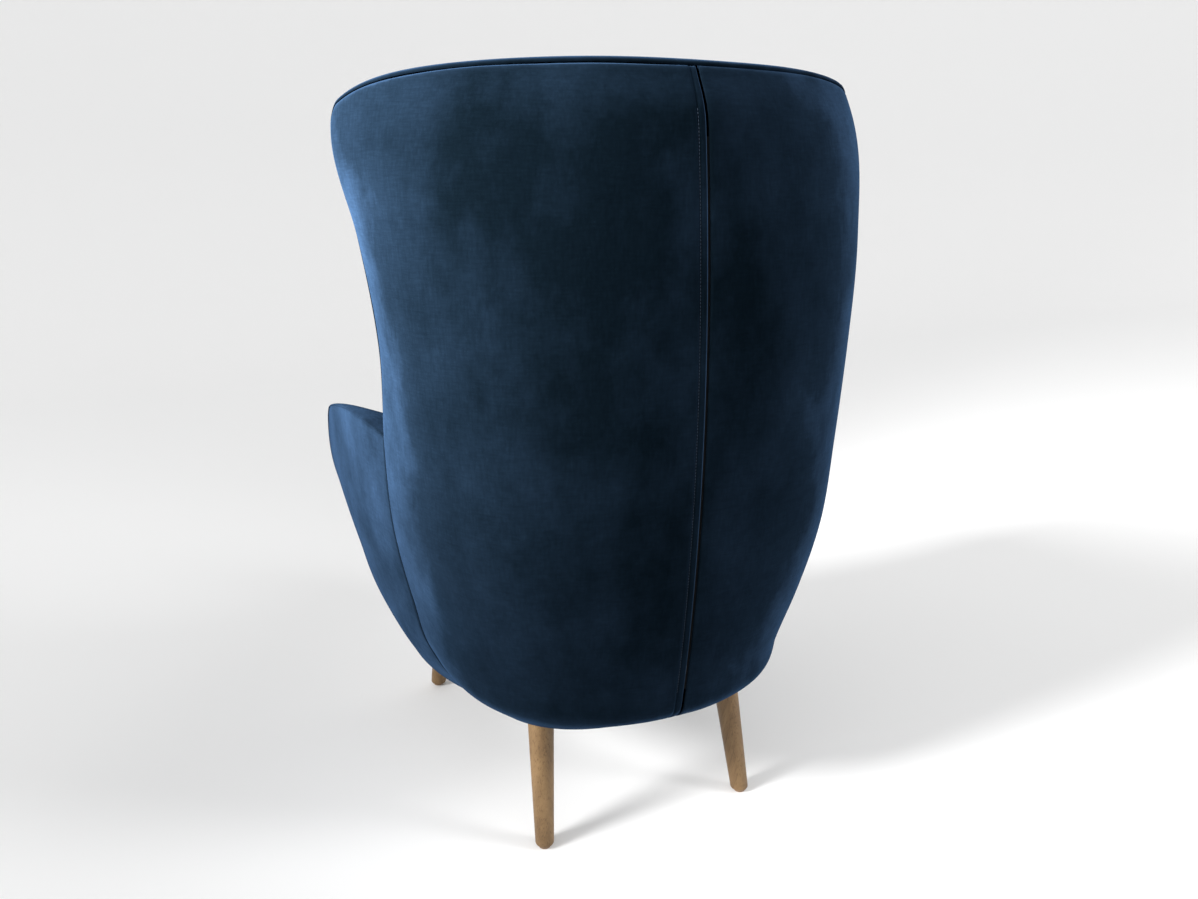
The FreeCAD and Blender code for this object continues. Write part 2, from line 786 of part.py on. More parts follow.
def seat_ring(z, section_z, gap, front_y):
    """Plan of something that fills the seat space, a gap away from the walls around it."""
    points = [at_layer(shell_points(u, section_z), (INNER, gap)) for u in spread(-1, 1, 21)]
    front_x = at_layer(arm_points(0.95, section_z), (INNER, gap)).x
    points = [Vector(point.x, point.y, z) for point in points]
    corners = [Vector(front_x, front_y, z), Vector(-front_x, front_y, z)]
    path = [points[-1], corners[0], corners[1], points[0]]
    return Part.Wire([curve_edge(points)] + [Part.makeLine(a, b) for a, b in zip(path, path[1:])])


def seat_deck(hollows):
    low = size("deck_low")
    high = size("deck_high")
    heights = (low, (low + high) / 2, high - COVER - GAP)
    rings = [seat_ring(z, z, 1.0, size("deck_front_y") + 1) for z in heights]
    keep("seat_deck_foam", cut_all(Part.makeLoft(rings, True, False), hollows))
    cover = seat_ring(high - COVER, high, 1.0, size("deck_front_y") + 1)
    keep("seat_deck_cover", Part.Face(cover).extrude(Vector(0, 0, COVER)))
    front = size("arm_front_y")
    keep("front_foam", front_block(front + PAD_IN, size("deck_front_y"), LOW + GAP, high, 1.0))
    keep("front_cover", front_block(front, front + COVER, LOW + GAP, high, 1.0))


def cushion_solid(inset):
    low = size("cushion_low") + inset
    high = size("cushion_high") - inset
    edge = size("cushion_edge_inset")
    section = size("cushion_section_z")
    gap = size("cushion_side_gap") + inset
    front = size("cushion_front_y") + inset
    rings = []
    for z, pull in ((low, edge), (low + 0.5 * edge, 0.3 * edge), ((low + high) / 2, 0.0),
                    (high - 0.5 * edge, 0.3 * edge), (high, edge)):
        rings.append(seat_ring(z, section, gap + pull, front + pull))
    return Part.makeLoft(rings, True, False)


def seat_cushion():
    keep("seat_cushion_foam", cushion_solid(PAD_IN))
    keep("seat_cushion_cover", cushion_solid(0.0).cut(cushion_solid(COVER)))


# ------------------------------------------------------------------ covers
def slit_cut(side):
    """What is removed so that a back cover stops at the zip's slit and at the centre seam."""
    half = size("slit_half")
    top = size("slit_top")
    below = Part.makeBox(100 + half, 400, top - 100, Vector(-100, 100, 100))
    above = Part.makeBox(100 + size("seam_half"), 400, 200, Vector(-100, 100, top))
    cutter = below.fuse(above)
    return cutter if side > 0 else cutter.mirror(Vector(0, 0, 0), Vector(1, 0, 0))


def shell_covers():
    heights = heights_between(LOW + GAP, LOFT_TOP)
    outer = wall(shell_points, (-0.08, 1 - SEAM_U), heights, ((OUTER, 0.0), (OUTER, COVER)), 21)
    keep_pair("outer_back_cover", outer.common(top_cylinder(-0.2)).cut(slit_cut(1)))

    inner_layers = ((INNER, -COVER), (INNER, 0.0))
    ceiling = top_cylinder(size("lip_rise") - COVER - 0.2)
    deck = size("deck_high") + 1
    above_deck = Part.makeBox(1200, 1200, 1200, Vector(-600, -600, deck))
    split = SPLIT_U - 2 * SEAM_U
    middle = wall(shell_points, (-split, split), heights, inner_layers, 17)
    keep("inner_back_cover", middle.common(ceiling).common(above_deck))
    side = wall(shell_points, (SPLIT_U + 2 * SEAM_U, 1 - EDGE_U - SEAM_U), heights, inner_layers)
    keep_pair("inner_wing_cover", side.common(ceiling).common(above_deck))

    span = 1 - EDGE_U - SEAM_U
    crown_heights = heights_between(1000, LOFT_TOP)
    crown = wall(shell_points, (-span, span), crown_heights, ((OUTER, COVER + 0.2), (INNER, 0.0)), 25)
    strip = top_cylinder(size("lip_rise")).cut(top_cylinder(size("lip_rise") - COVER))
    keep("top_band", crown.common(strip))

    edge_layers = ((OUTER, COVER + GAP), (INNER, 0.0))
    edge = wall(shell_points, (1 - EDGE_U, 1), heights, edge_layers, 5)
    above_arm = Part.makeBox(1200, 1200, 1200, Vector(-600, -600, size("arm_top") - size("band_overlap")))
    keep_pair("wing_band", edge.common(top_cylinder(size("lip_rise"))).common(above_arm))


def arm_covers():
    heights = [LOW + GAP, 230, 260, 310, 360, 420, 480, 560, 660]
    outline = arm_outline(0.0)
    outer = wall(arm_points, (0.002, 1.0), heights, ((OUTER, 0.0), (OUTER, COVER)), 9)
    keep_pair("outer_arm_cover", outer.common(outline))
    inner = wall(arm_points, (0.004, 1.0), heights, ((INNER, -COVER), (INNER, 0.0)), 9)
    above_deck = Part.makeBox(1200, 1200, 1200, Vector(-600, -600, size("deck_high") + 1))
    keep_pair("inner_arm_cover", inner.common(arm_outline(COVER + 0.2)).common(above_deck))
    band = wall(arm_points, (0.004, 1.0), heights, ((OUTER, COVER + 0.2), (INNER, 0.0)), 9)
    strip = outline.cut(arm_outline(COVER))
    keep_pair("arm_band", band.common(strip))


def base_cover():
    """Dust cloth under the seat, with a hole for each leg."""
    z = LOW - 1.2
    rear = [shell_points(u, LOW)[0] for u in spread(-1, 1, 25)]
    left = [arm_points(t, LOW)[0] for t in spread(0, 0.98, 7)]
    right = [Vector(-point.x, point.y, point.z) for point in left]
    inset = 3.0
    centre = Vector(0, 40, 0)

    def flat(point):
        toward = centre - Vector(point.x, point.y, 0)
        moved = Vector(point.x, point.y, 0) + toward * (inset / toward.Length)
        return Vector(moved.x, moved.y, z)

    rear = [flat(point) for point in rear]
    left = [flat(point) for point in left]
    right = [flat(point) for point in right]
    outline = Part.Wire(
        [curve_edge(rear), curve_edge(left), Part.makeLine(left[-1], right[-1]), curve_edge(right[::-1])]
    )
    sheet_solid = Part.Face(outline).extrude(Vector(0, 0, 1.0))
    holes = []
    for _, foot, axis in leg_places():
        lean = axis / axis.Length
        start = foot + axis * LOW - lean * 40
        holes.append(Part.makeCylinder(size("leg_top_radius") + 1.5, 80, start, lean))
    keep("base_cloth", cut_all(sheet_solid, holes))


# ------------------------------------------------------------------ zip
def zip_fastener():
    low = size("zip_low")
    high = size("zip_high")
    zip_x = size("zip_x")
    gap = size("coil_gap")
    tape = size("tape_depth")
    coil = size("coil_depth")
    for side, word in ((1, "left"), (-1, "right")):
        tape_x = sorted((zip_x + side * (gap + 0.2), zip_x + side * size("tape_width")))
        coil_x = sorted((zip_x + side * gap, zip_x + side * (gap + size("coil_width"))))
        keep(f"zip_tape_{word}", spine_band((tape, tape + size("tape_thick")), (low, high), tape_x))
        keep(f"zip_coil_{word}", spine_band((coil, coil + size("coil_thick")), (low + 5, high - 5), coil_x))
    reach = gap + size("coil_width")
    stops = [
        spine_band((coil, coil + size("coil_thick")), heights, (zip_x - reach, zip_x + reach))
        for heights in ((low + 1, low + 4.6), (high - 4.6, high - 1))
    ]
    keep("zip_stops", Part.makeCompound(stops))


def zip_slider():
    """Slider of two plates joined by a web in the gap between the coils, parked at the bottom."""
    park = math.degrees(math.asin((size("slider_park_z") - SPINE_Z) / SPINE_R))
    pieces = []
    length = "sizes.slider_length"
    specs = (
        ("front_plate", 3.0, 1.9, size("slider_width"), length),
        ("web", 4.8, 4.3, 0.9, "sizes.slider_length - 2"),
        ("rear_plate", 8.9, 1.1, size("slider_width") - 2, length),
    )
    for name, depth, thick, width, long in specs:
        plate = new_box(f"slider_{name}", Length=f"{width}", Width=f"{thick + 0.1}", Height=long)
        doc.recompute()
        plate.Placement.Base = Vector(
            size("zip_x") - width / 2, SPINE_Y - depth - thick - 0.05, SPINE_Z - float(plate.Height) / 2
        )
        pieces.append(plate)
    slider = doc.addObject("Part::MultiFuse", "zip_slider")
    slider.Shapes = pieces
    turn = Placement(Vector(0, 0, 0), Rotation(Vector(1, 0, 0), park), SPINE_CENTRE)
    slider.Placement = turn
    slider.Label = "zip_slider"
    NODES.append(slider)

    wide = size("pull_width")
    thick = size("pull_thick")
    long = size("pull_length")
    low = SPINE_Z - size("slider_length") / 2 - long - GAP
    corner = Vector(size("zip_x") - wide / 2, SPINE_Y - size("pull_depth"), low)
    tab = Part.makeBox(wide, thick, long, corner)
    corners = [
        edge for edge in tab.Edges if abs(edge.Length - thick) < 1e-6 and edge.CenterOfMass.z < low + 1
    ]
    tab = tab.makeFillet(size("pull_corner"), corners)
    tab.Placement = turn.multiply(tab.Placement)
    keep("zip_pull", tab)


# ------------------------------------------------------------------ build, check and write
def build():
    straight_rails()
    channels = bent_tubes()
    seat_springs()
    legs()
    leg_fixings()
    hollows = channels + base_hollows()
    shell_padding(hollows)
    arm_padding(hollows)
    seat_deck(hollows)
    seat_cushion()
    shell_covers()
    arm_covers()
    base_cover()
    zip_fastener()
    zip_slider()
    doc.recompute()


def check_and_write():
    for item in doc.Objects:
        if "Invalid" in item.State or "Error" in item.State:
            raise RuntimeError(f"{item.Name} failed: {item.State}")
    os.makedirs("parts", exist_ok=True)
    for node in NODES:
        shape = node.Shape
        if shape.isNull() or not shape.isValid() or not shape.Solids:
            raise RuntimeError(f"{node.Label} has no valid solid")
        shape.exportStep(f"parts/{node.Label}.step")


build()
check_and_write()
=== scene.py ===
"""Looks of the wing-back lounge armchair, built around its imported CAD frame. Metres, +Z up."""
import math
import random

import bmesh
import bpy
import numpy as np
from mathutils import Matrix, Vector


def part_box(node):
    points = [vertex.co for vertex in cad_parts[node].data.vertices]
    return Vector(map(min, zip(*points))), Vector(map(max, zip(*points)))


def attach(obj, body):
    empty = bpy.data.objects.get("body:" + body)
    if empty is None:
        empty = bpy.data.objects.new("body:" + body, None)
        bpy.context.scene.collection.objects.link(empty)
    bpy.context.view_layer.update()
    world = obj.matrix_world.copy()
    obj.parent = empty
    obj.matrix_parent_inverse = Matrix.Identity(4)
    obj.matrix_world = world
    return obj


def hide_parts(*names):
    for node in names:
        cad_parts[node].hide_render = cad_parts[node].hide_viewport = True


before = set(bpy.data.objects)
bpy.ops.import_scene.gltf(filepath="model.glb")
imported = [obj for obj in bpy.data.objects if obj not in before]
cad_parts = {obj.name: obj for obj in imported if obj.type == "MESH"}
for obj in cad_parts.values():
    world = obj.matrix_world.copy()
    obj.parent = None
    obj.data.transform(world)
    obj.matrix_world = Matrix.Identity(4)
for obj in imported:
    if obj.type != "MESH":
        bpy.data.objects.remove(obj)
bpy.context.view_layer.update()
MM = 0.001

# ------------------------------------------------------------------ shape of the upholstery
# The same plan curves as the CAD covers, in millimetres. A shell row holds the height, then the
# half plan's cubic: back_y, shoulder_x, corner_x, corner_y, edge_x, edge_y, and the padding's
# thickness at the back and at the front edge.
SHELL_ROWS = np.array([
    (200, 268, 104, 216, 236, 215, 115, 60, 35),
    (230, 318, 128, 262, 240, 259, 84, 75, 40),
    (275, 336, 140, 280, 240, 289, 60, 85, 49),
    (360, 348, 160, 305, 275, 313, 49, 120, 64),
    (470, 361, 180, 331, 312, 334, 44, 145, 84),
    (600, 370, 185, 347, 318, 342, 50, 145, 86),
    (750, 373, 190, 364, 317, 346, 68, 125, 72),
    (900, 368, 194, 375, 302, 366, 70, 105, 62),
    (1030, 357, 188, 372, 262, 390, 62, 88, 56),
    (1110, 326, 174, 359, 215, 380, 61, 74, 52),
    (1140, 308, 167, 352, 195, 374, 61, 70, 50),
]) * MM
# An arm row holds the height, then bulge_x, front_x, front_y and inside_x.
ARM_ROWS = np.array([
    (200, 278, 196, -346, 160),
    (260, 309, 274, -354, 232),
    (360, 337, 316, -356, 270),
    (480, 357, 352, -356, 273),
    (560, 361, 356, -356, 275),
    (640, 363, 352, -356, 277),
]) * MM

SPINE_RADIUS = 2.750
SPINE_Z = 0.730
SPINE_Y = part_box("outer_back_cover_left")[1].y
HEM_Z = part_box("outer_back_cover_left")[0].z
SEAM_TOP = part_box("outer_back_cover_left")[1].z
TOP_RADIUS = 0.885
TOP_ARC_Y = 0.340
ARM_TOP = 0.624
ARM_RADIUS = 1.080
ARM_ARC_Y = -0.025
ARM_CORNER = 0.055
ARM_CREST_X = 0.352
ARM_TOP_FALL = 0.38
ARC_LOW = (0.275, 0.235)
ARC_HIGH = (1.030, 1.100)
WING_CORNER = 0.020
DECK_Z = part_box("seat_deck_cover")[1].z
ZIP_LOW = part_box("zip_tape_left")[0].z
SLIT_HALF = 1.75 * MM
SLIT_TOP = 1.060
SPLIT_U = 0.5
LEG_LEAN_X = 0.066
LEG_LEAN_Y = 0.214


def rows_at(rows, z):
    """Every column at the heights z, by the same cubic pieces as the CAD."""
    heights = rows[:, 0]
    steps = np.diff(heights)[:, None]
    rises = np.diff(rows, axis=0) / steps
    slopes = np.empty_like(rows)
    slopes[0] = rises[0]
    slopes[-1] = rises[-1]
    slopes[1:-1] = (rises[:-1] * steps[1:] + rises[1:] * steps[:-1]) / (steps[:-1] + steps[1:])
    z = np.asarray(z, float)
    index = np.clip(np.searchsorted(heights, z, side="right") - 1, 0, len(rows) - 2)
    span = (heights[index + 1] - heights[index])[..., None]
    part = (z - heights[index])[..., None] / span
    value = (2 * part**3 - 3 * part**2 + 1) * rows[index] + (3 * part**2 - 2 * part**3) * rows[index + 1]
    value += (part**3 - 2 * part**2 + part) * span * slopes[index]
    value += (part**3 - part**2) * span * slopes[index + 1]
    return np.moveaxis(value, -1, 0)


def smooth_share(z, start, end):
    """0 before the start, 1 past the end, and a smooth rise between them."""
    share = np.clip((z - start) / (end - start), 0, 1)
    return share**2 * (3 - 2 * share)


def shell_points(u, z):
    """Outside and inside points of the shell at the share u (-1 to 1) of its plan curve."""
    u, z = np.broadcast_arrays(np.asarray(u, float), np.asarray(z, float))
    _, tabled, shoulder_x, corner_x, corner_y, edge_x, edge_y, back_pad, side_pad = rows_at(SHELL_ROWS, z)
    arc = SPINE_Y - SPINE_RADIUS + np.sqrt(SPINE_RADIUS**2 - (z - SPINE_Z) ** 2)
    share = np.where(z > SPINE_Z, smooth_share(z, *ARC_HIGH), smooth_share(z, *ARC_LOW))
    back_y = arc + (tabled - arc) * share
    t = np.abs(u)
    w0, w1, w2, w3 = (1 - t) ** 3, 3 * t * (1 - t) ** 2, 3 * t**2 * (1 - t), t**3
    side = np.where(u < 0, -1.0, 1.0)
    outside = np.stack([
        side * (w1 * shoulder_x + w2 * corner_x + w3 * edge_x),
        (w0 + w1) * back_y + w2 * corner_y + w3 * edge_y,
        z,
    ], -1)
    inside = np.stack([
        side * (w1 * shoulder_x * 0.8 + w2 * (corner_x - side_pad) + w3 * (edge_x - side_pad)),
        (w0 + w1) * (back_y - back_pad) + w2 * (corner_y - 0.62 * back_pad) + w3 * edge_y,
        z,
    ], -1)
    return outside, inside


def arm_points(t, z):
    """Outside and inside points of the left arm at the share t (0 to 1) from the shell forward."""
    t, z = np.broadcast_arrays(np.asarray(t, float), np.asarray(z, float))
    _, bulge_x, front_x, front_y, inside_x = rows_at(ARM_ROWS, z)
    rear_out, rear_in = shell_points(np.ones_like(z), z)
    handle = np.stack([2 * bulge_x - (rear_out[..., 0] + front_x) / 2, (rear_out[..., 1] + front_y) / 2, z], -1)
    front_out = np.stack([front_x, front_y, z], -1)
    front_in = np.stack([inside_x, front_y, z], -1)
    t = t[..., None]
    outside = rear_out * (1 - t) ** 2 + handle * (2 * t * (1 - t)) + front_out * t**2
    inside = rear_in * (1 - t) + front_in * t
    return outside, inside


def corner_drop(distance, radius):
    """How far a rounded corner lies under its square corner, at a distance from the edge."""
    reach = np.clip(radius - distance, 0, radius)
    return radius - np.sqrt(radius**2 - reach**2)


def shell_top(u, layer, corner=WING_CORNER):
    """Height of the shell's top edge at u, on the outside (layer 0) or the inside (layer 1)."""
    u = np.asarray(u, float)
    z = np.full(u.shape, 1.08)
    for _ in range(8):
        y = shell_points(u, z)[layer][..., 1]
        z = SEAM_TOP - TOP_RADIUS + np.sqrt(TOP_RADIUS**2 - (y - TOP_ARC_Y) ** 2)
    edge = shell_points(np.sign(u + 1e-9), z)[layer]
    distance = np.linalg.norm(edge - shell_points(u, z)[layer], axis=-1)
    return z - corner_drop(distance, corner)


def arm_top(t, layer):
    t = np.asarray(t, float)
    z = np.full(t.shape, 0.6)
    for _ in range(8):
        x, y, _ = np.moveaxis(arm_points(t, z)[layer], -1, 0)
        z = ARM_TOP - ARM_RADIUS + np.sqrt(ARM_RADIUS**2 - (y - ARM_ARC_Y) ** 2)
        z += ARM_TOP_FALL * (x - ARM_CREST_X)
    front = arm_points(1.0, 0.5)[layer][..., 1]
    return z - corner_drop(y - front, ARM_CORNER)


# ------------------------------------------------------------------ mesh helpers
def soft_ends(count, crowding=0.5):
    """Shares from 0 to 1, closer together near both ends, where the seams pull the cloth in."""
    even = np.linspace(0, 1, count)
    return (1 - crowding) * even + crowding * 0.5 * (1 - np.cos(math.pi * even))


def grid_normals(points):
    down = np.gradient(points, axis=0)
    across = np.gradient(points, axis=1)
    normal = np.cross(across, down)
    length = np.linalg.norm(normal, axis=-1, keepdims=True)
    return normal / np.maximum(length, 1e-12)


def outward(points, centre):
    """Grid normals turned away from a centre point."""
    normal = grid_normals(points)
    middle = tuple(size // 2 for size in points.shape[:2])
    if np.dot(normal[middle], points[middle] - np.asarray(centre)) < 0:
        normal = -normal
    return normal


def pull_in(distance, depth, reach):
    """How far a seam pulls the cloth in, at a distance from the seam."""
    share = np.clip(distance / reach, 0, 1)
    return depth * (1 - np.sqrt(1 - (1 - share) ** 2))


def swell(points, amplitude, wavelength, seed, count=7):
    """Gentle, seeded unevenness of padding: a few sine waves in random directions."""
    dice = random.Random(seed)
    total = np.zeros(points.shape[:-1])
    for _ in range(count):
        direction = Vector((dice.gauss(0, 1), dice.gauss(0, 1), dice.gauss(0, 1))).normalized()
        wave = wavelength * dice.uniform(0.6, 1.7)
        phase = dice.uniform(0, 2 * math.pi)
        total += np.sin(points @ np.array(direction) * (2 * math.pi / wave) + phase)
    return amplitude * total / math.sqrt(count)


def edge_distance(points, axis, end):
    """Distance along the grid from one of its edges."""
    steps = np.linalg.norm(np.diff(points, axis=axis), axis=-1)
    if end:
        steps = np.flip(steps, axis=axis)
    start = np.zeros_like(np.take(steps, [0], axis=axis))
    total = np.concatenate([start, np.cumsum(steps, axis=axis)], axis=axis)
    return np.flip(total, axis=axis) if end else total


def new_object(name, mesh):
    obj = bpy.data.objects.new(name, mesh)
    bpy.context.scene.collection.objects.link(obj)
    return obj


def mesh_from(name, vertices, faces):
    mesh = bpy.data.meshes.new(name)
    mesh.from_pydata([tuple(v) for v in vertices], [], faces)
    mesh.update()
    mesh.polygons.foreach_set("use_smooth", [True] * len(mesh.polygons))
    return mesh


def grid_faces(rows, columns, wrap_columns=False):
    faces = []
    last = columns if wrap_columns else columns - 1
    for row in range(rows - 1):
        for column in range(last):
            nxt = (column + 1) % columns
            faces.append((row * columns + column, row * columns + nxt,
                          (row + 1) * columns + nxt, (row + 1) * columns + column))
    return faces


def cloth_grid(name, points, toward, thickness=1.6 * MM):
    """A cover panel: a grid of points as the outer face and a second layer under it, closed at the rim."""
    rows, columns = points.shape[:2]
    normal = outward(points, toward)
    under = points - normal * thickness
    vertices = np.concatenate([points.reshape(-1, 3), under.reshape(-1, 3)])
    count = rows * columns
    top = grid_faces(rows, columns)
    first = np.array(top[0])
    a, b, c = (points.reshape(-1, 3)[i] for i in first[:3])
    if np.dot(np.cross(b - a, c - b), normal[0, 0]) < 0:
        top = [face[::-1] for face in top]
    bottom = [tuple(index + count for index in face[::-1]) for face in top]
    edge_use = {}
    for face in top:
        for start, end in zip(face, face[1:] + face[:1]):
            edge_use[(start, end)] = True
    rim = [(end, start, start + count, end + count) for start, end in edge_use if (end, start) not in edge_use]
    obj = new_object(name, mesh_from(name, vertices, top + bottom + rim))
    return obj


def mirrored(obj, name):
    """Copy of a piece on the other side of the chair."""
    mesh = obj.data.copy()
    mesh.name = name
    coordinates = np.empty(len(mesh.vertices) * 3)
    mesh.vertices.foreach_get("co", coordinates)
    coordinates = coordinates.reshape(-1, 3)
    coordinates[:, 0] *= -1
    mesh.vertices.foreach_set("co", coordinates.ravel())
    mesh.flip_normals()
    mesh.update()
    return new_object(name, mesh)


def tube(name, path, radius, sides=10, closed=False):
    """Round tube along a list of points."""
    path = np.asarray(path, float)
    if closed:
        tangent = np.roll(path, -1, axis=0) - np.roll(path, 1, axis=0)
    else:
        tangent = np.gradient(path, axis=0)
    tangent /= np.linalg.norm(tangent, axis=-1, keepdims=True)
    side = np.cross(tangent, (0.0, 0.0, 1.0))
    weak = np.linalg.norm(side, axis=-1) < 0.2
    side[weak] = np.cross(tangent[weak], (1.0, 0.0, 0.0))
    side /= np.linalg.norm(side, axis=-1, keepdims=True)
    up = np.cross(side, tangent)
    angles = np.linspace(0, 2 * math.pi, sides, endpoint=False)
    rings = (path[:, None] + radius * (np.cos(angles)[None, :, None] * side[:, None]
             + np.sin(angles)[None, :, None] * up[:, None]))
    count = len(path)
    faces = grid_faces(count, sides, wrap_columns=True)
    if closed:
        last = (count - 1) * sides
        faces += [(last + k, last + (k + 1) % sides, (k + 1) % sides, k) for k in range(sides)]
    else:
        faces += [tuple(range(sides))[::-1], tuple(range((count - 1) * sides, count * sides))]
    return new_object(name, mesh_from(name, rings.reshape(-1, 3), faces))


# ------------------------------------------------------------------ materials
def node_material(name):
    material = bpy.data.materials.new(name)
    material.use_nodes = True
    nodes = material.node_tree.nodes
    return material, nodes, material.node_tree.links, nodes["Principled BSDF"]


def add_noise(nodes, links, vector, scale, detail, roughness=0.6):
    noise = nodes.new("ShaderNodeTexNoise")
    noise.inputs["Scale"].default_value = scale
    noise.inputs["Detail"].default_value = detail
    noise.inputs["Roughness"].default_value = roughness
    links.new(vector, noise.inputs["Vector"])
    return noise.outputs["Fac"]


def add_ramp(nodes, links, factor, stops):
    ramp = nodes.new("ShaderNodeValToRGB")
    elements = ramp.color_ramp.elements
    for index, (place, colour) in enumerate(stops):
        element = elements[index] if index < 2 else elements.new(place)
        element.position = place
        element.color = (*colour, 1)
    links.new(factor, ramp.inputs["Fac"])
    return ramp.outputs["Color"]


def add_bump(nodes, links, height, strength, distance, normal=None):
    bump = nodes.new("ShaderNodeBump")
    bump.inputs["Strength"].default_value = strength
    bump.inputs["Distance"].default_value = distance
    links.new(height, bump.inputs["Height"])
    if normal is not None:
        links.new(normal, bump.inputs["Normal"])
    return bump.outputs["Normal"]


def stretched(nodes, links, source, scale, rotation=(0, 0, 0)):
    mapping = nodes.new("ShaderNodeMapping")
    mapping.inputs["Scale"].default_value = scale
    mapping.inputs["Rotation"].default_value = rotation
    links.new(source, mapping.inputs["Vector"])
    return mapping.outputs["Vector"]


# The shade factor scales every colour stop; below 1 it makes a darker copy of the same velvet, which is painted
# shade.
def velvet_material(name, shade=1.0):
    """Short cotton velvet: a dark pile whose lie varies in soft patches, with a blue sheen; the base colour is
    painted lighter blue towards grazing angles as painted sheen, besides the shader's weak sheen.
    """
    material, nodes, links, shader = node_material(name)
    place = nodes.new("ShaderNodeTexCoord").outputs["Object"]
    patches = add_noise(nodes, links, stretched(nodes, links, place, (1, 1, 0.7)), 8.0, 7.0, 0.62)
    threads = add_noise(nodes, links, stretched(nodes, links, place, (300, 300, 60)), 1.0, 2.0)
    crossing = add_noise(nodes, links, stretched(nodes, links, place, (50, 50, 420)), 1.0, 2.0)
    # Painted sheen: the Facing output lifts the base colour to lighter blues where the cloth is seen edge-on.
    edge = nodes.new("ShaderNodeLayerWeight")
    edge.inputs["Blend"].default_value = 0.32
    turned = nodes.new("ShaderNodeMath")
    turned.operation = "MULTIPLY_ADD"
    links.new(patches, turned.inputs[0])
    turned.inputs[1].default_value = 0.80
    turned.inputs[2].default_value = -0.41
    # Painted sheen from the Facing output, plus the nap's random patches.
    nap_and_painted_sheen = nodes.new("ShaderNodeMath")
    nap_and_painted_sheen.operation = "ADD"
    links.new(edge.outputs["Facing"], nap_and_painted_sheen.inputs[0])
    links.new(turned.outputs["Value"], nap_and_painted_sheen.inputs[1])
    # Colour stops: the pile's own dark navy first, then lighter blues that are painted sheen at grazing angles.
    navy_and_painted_sheen_stops = ((0.0, 0.0015, 0.0034, 0.0056), (0.38, 0.0054, 0.0112, 0.0205), (0.80, 0.0215, 0.0440, 0.0860))
    stops = [(stop, tuple(shade * value for value in colour)) for stop, *colour in navy_and_painted_sheen_stops]
    base = add_ramp(nodes, links, nap_and_painted_sheen.outputs["Value"], [stops[0], stops[2], stops[1]])
    woven = nodes.new("ShaderNodeMath")
    woven.operation = "MULTIPLY"
    links.new(threads, woven.inputs[0])
    links.new(crossing, woven.inputs[1])
    grain_stops = [(0.12, (0.82, 0.82, 0.82)), (0.42, (1.12, 1.12, 1.12))]
    grain = add_ramp(nodes, links, woven.outputs["Value"], grain_stops)
    mix = nodes.new("ShaderNodeMix")
    mix.data_type = "RGBA"
    mix.blend_type = "MULTIPLY"
    mix.inputs["Factor"].default_value = 1.0
    links.new(base, mix.inputs["A"])
    links.new(grain, mix.inputs["B"])
    links.new(mix.outputs["Result"], shader.inputs["Base Color"])
    rough = nodes.new("ShaderNodeMapRange")
    rough.inputs["To Min"].default_value = 0.70
    rough.inputs["To Max"].default_value = 0.92
    links.new(patches, rough.inputs["Value"])
    links.new(rough.outputs["Result"], shader.inputs["Roughness"])
    shader.inputs["Specular IOR Level"].default_value = 0.0
    shader.inputs["Sheen Weight"].default_value = 0.03
    shader.inputs["Sheen Roughness"].default_value = 0.38
    shader.inputs["Sheen Tint"].default_value = (0.20, 0.42, 0.80, 1)
    pile = add_noise(nodes, links, place, 1400.0, 2.0)
    weave = add_noise(nodes, links, stretched(nodes, links, place, (260, 260, 900)), 1.0, 2.0)
    lie = add_noise(nodes, links, place, 22.0, 3.0)
    normal = add_bump(nodes, links, lie, 0.35, 0.004)
    normal = add_bump(nodes, links, weave, 0.08, 0.0006, normal)
    normal = add_bump(nodes, links, pile, 0.30, 0.0005, normal)
    links.new(normal, shader.inputs["Normal"])
    return material


def plain_cloth_material(name, colour, scale):
    material, nodes, links, shader = node_material(name)
    place = nodes.new("ShaderNodeTexCoord").outputs["Object"]
    grain = add_noise(nodes, links, place, scale, 3.0)
    darker = tuple(0.6 * value for value in colour)
    links.new(add_ramp(nodes, links, grain, [(0.3, darker), (0.7, colour)]), shader.inputs["Base Color"])
    shader.inputs["Roughness"].default_value = 0.92
    links.new(add_bump(nodes, links, grain, 0.4, 0.0008), shader.inputs["Normal"])
    return material


def metal_material(name, colour, metallic, roughness):
    material, nodes, links, shader = node_material(name)
    place = nodes.new("ShaderNodeTexCoord").outputs["Object"]
    wear = add_noise(nodes, links, place, 60.0, 4.0)
    lighter = tuple(min(1.0, 1.4 * value) for value in colour)
    links.new(add_ramp(nodes, links, wear, [(0.35, colour), (0.75, lighter)]), shader.inputs["Base Color"])
    spread = nodes.new("ShaderNodeMapRange")
    spread.inputs["To Min"].default_value = roughness - 0.08
    spread.inputs["To Max"].default_value = roughness + 0.12
    links.new(wear, spread.inputs["Value"])
    links.new(spread.outputs["Result"], shader.inputs["Roughness"])
    shader.inputs["Metallic"].default_value = metallic
    return material


